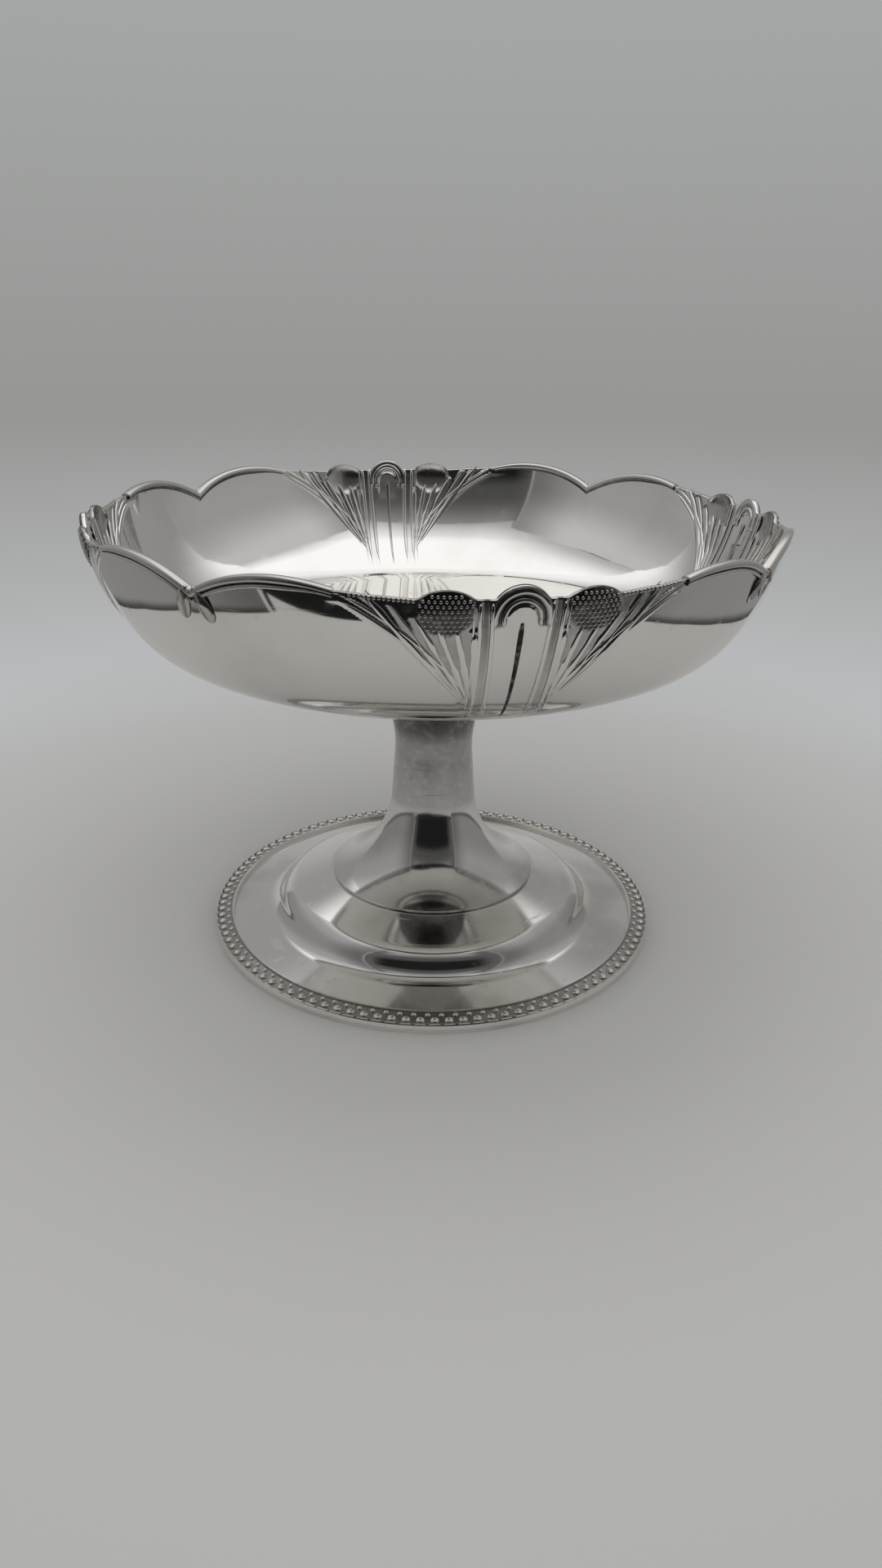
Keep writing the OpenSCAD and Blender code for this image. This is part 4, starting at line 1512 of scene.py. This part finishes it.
    @staticmethod
    def glow() -> bpy.types.Material:
        """Material of the cards: it shines with the tone that each point carries.

        Returns:
            The material, built once.
        """
        name = "card_glow"
        if name in bpy.data.materials:
            return bpy.data.materials[name]
        made, sheet = node_material(name)
        tone = sheet.add("ShaderNodeAttribute", attribute_name="tone")
        shine = sheet.add("ShaderNodeEmission", {"Color": tone.outputs["Color"]})
        sheet.feed(made.node_tree.nodes["Material Output"].inputs["Surface"], shine.outputs[0])
        return made

    def wall_tone(self, place: Vector) -> float:
        """Brightness of the tent's walls: dark along the floor, dim low down and towards the opening."""
        return climb(place.z, self.wall_foot, self.wall_steps) * climb(place.y, self.mouth_share, self.mouth_steps)

    def top_tone(self, place: Vector) -> float:
        """Brightness of the tent's top: bright in the middle, softer at its sides and over the opening.

        Args:
            place: place on the card.

        Returns:
            The brightness.
        """
        mouth, side, middle = self.top_tones
        across = mix(side, middle, ease(*self.top_left, place.x) * ease(*self.top_right, place.x))
        return mix(mouth, across, ease(*self.top_mouth, place.y))

    def dark_tone(self, place: Vector) -> float:
        """Brightness of the room ahead of the opening: black low in the middle, grey higher up."""
        high = climb(place.z, self.dark_foot, self.dark_steps)
        return mix(high, self.room_tone, ease(*self.dark_sides, abs(place.x)))

    def back_tone(self, place: Vector) -> float:
        """Brightness of the tent's back."""
        return climb(place.z, self.back_foot, self.back_steps)

    def tent(self) -> None:
        """Hangs the cards of a soft tent round the part, open on the camera's side."""
        top = self.tent_h
        for name, path, side in (("card_left", self.tent_left, -1), ("card_right", self.tent_right, 1)):
            self.upright(name, path, top, self.wall_tone)
            a, b = path[0]
            self.upright(f"seam_{name}", [(a, b + gap) for gap in self.seam], top, lambda p: self.seam_tone)
            inner = a - self.glint[0] * side
            self.upright(f"glint_{name}", [(inner, b), (inner, b + self.glint[1])], top, lambda p: self.glint_tone)
        back = (self.tent_left[-1], self.tent_right[-1])
        self.upright("card_back", back, top, self.back_tone)
        front = [(p[0], path[0][1] - self.top_over, top) for p, path in zip(back, (self.tent_left, self.tent_right))]
        self.card("card_top", front, [(*p, top) for p in back], self.top_tone)
        edge = [(*p, self.front_z) for p in self.floor_front]
        end = [(p[0], self.front_end, self.front_z) for p in self.floor_front]
        self.card("card_front_floor", edge, end, lambda p: self.front_tone)
        self.upright("card_dark", self.dark_wall, self.front_z + self.dark_h, self.dark_tone, self.front_z)

    def floor(self) -> None:
        """Adds the floor, which fades into the background away from the part."""
        bm = bmesh.new()
        bmesh.ops.create_circle(bm, cap_ends=True, segments=96, radius=self.floor_r)
        made, sheet = node_material("floor_paper")
        shader = made.node_tree.nodes["Principled BSDF"]
        shader.inputs["Roughness"].default_value = self.floor_roughness
        shader.inputs["Base Color"].default_value = (*self.floor_colour, 1.0)
        place = sheet.add("ShaderNodeTexCoord").outputs["Object"]
        length = sheet.add("ShaderNodeVectorMath", {0: place}, operation="LENGTH")
        far = sheet.spread(length.outputs["Value"], *self.floor_fade)
        seen = sheet.math("MULTIPLY", far, sheet.add("ShaderNodeLightPath").outputs["Is Camera Ray"])
        clear = sheet.add("ShaderNodeBsdfTransparent")
        both = sheet.add("ShaderNodeMixShader", {0: seen, 1: shader.outputs[0], 2: clear.outputs[0]})
        sheet.feed(made.node_tree.nodes["Material Output"].inputs["Surface"], both.outputs[0])
        meshed("floor", bm, made)

    def world(self) -> None:
        """Lights the part from all round, and shows the camera a pale background that fades with height."""
        world = bpy.data.worlds.new("tent")
        bpy.context.scene.world = world
        world.use_nodes = True
        sheet = NodeSheet(world.node_tree)
        way = sheet.add("ShaderNodeSeparateXYZ", {0: sheet.add("ShaderNodeTexCoord").outputs["Generated"]})
        up = way.outputs["Z"]
        ramp = sheet.add("ShaderNodeValToRGB", {0: sheet.spread(up, -1.0, 1.0, kind="LINEAR")})
        stops = ramp.color_ramp.elements
        while len(stops) < len(self.sky):
            stops.new(0.5)
        for stop, (spot, tone, red, blue) in zip(stops, self.sky):
            stop.position = spot
            stop.color = (tone * red, tone, tone * blue, 1.0)
        path = sheet.add("ShaderNodeLightPath")
        soft = sheet.spread(up, 0.0, 1.0, self.soft_tones)
        around = sheet.blend(path.outputs["Is Glossy Ray"], soft, (self.room_tone,) * 3)
        ground = world.node_tree.nodes["Background"]
        sheet.feed(ground.inputs["Color"], sheet.blend(path.outputs["Is Camera Ray"], around, ramp.outputs[0]))
        ground.inputs["Strength"].default_value = 1.0

    def lamp(self, name: str, where: Vector, size: Point, power: float) -> None:
        """Adds a soft rectangular lamp aimed at the bowl.

        Args:
            name: the lamp's name.
            where: its point in the part's frame.
            size: its width and depth.
            power: its power in watts.
        """
        data = bpy.data.lights.new(name, "AREA")
        data.shape = "RECTANGLE"
        data.size, data.size_y = size
        data.energy = power
        obj = placed(name, data)
        obj.rotation_euler = (Vector(self.aim) - where).to_track_quat("-Z", "Y").to_euler()
        obj.location = where
        obj.visible_glossy = False

    def build(self) -> None:
        """Builds the whole studio."""
        bpy.context.scene.view_settings.view_transform = "Standard"
        self.camera()
        self.floor()
        self.world()
        self.tent()
        self.lamp("top_lamp", Vector(self.top_lamp_at), self.top_lamp_size, self.top_lamp_power)
        self.lamp("front_lamp", self.spot(*self.front_lamp_at), self.front_lamp_size, self.front_lamp_power)


def main() -> None:
    """Builds every piece of the part and the studio round it."""
    logging.basicConfig(level=logging.INFO, format="%(relativeCreated)d ms %(message)s")
    Studio().build()
    bowl, foot = Bowl(), Foot()
    bowl.build()
    HoodBeads(bowl).build()
    for inside in (False, True):
        Chasing(bowl, inside).build()
    RimBorders(bowl).build()
    foot.build()
    FootBorder(foot).build()
    Stem(bowl, foot).build()
    Fastening().build()


if __name__ == "__main__":
    main()
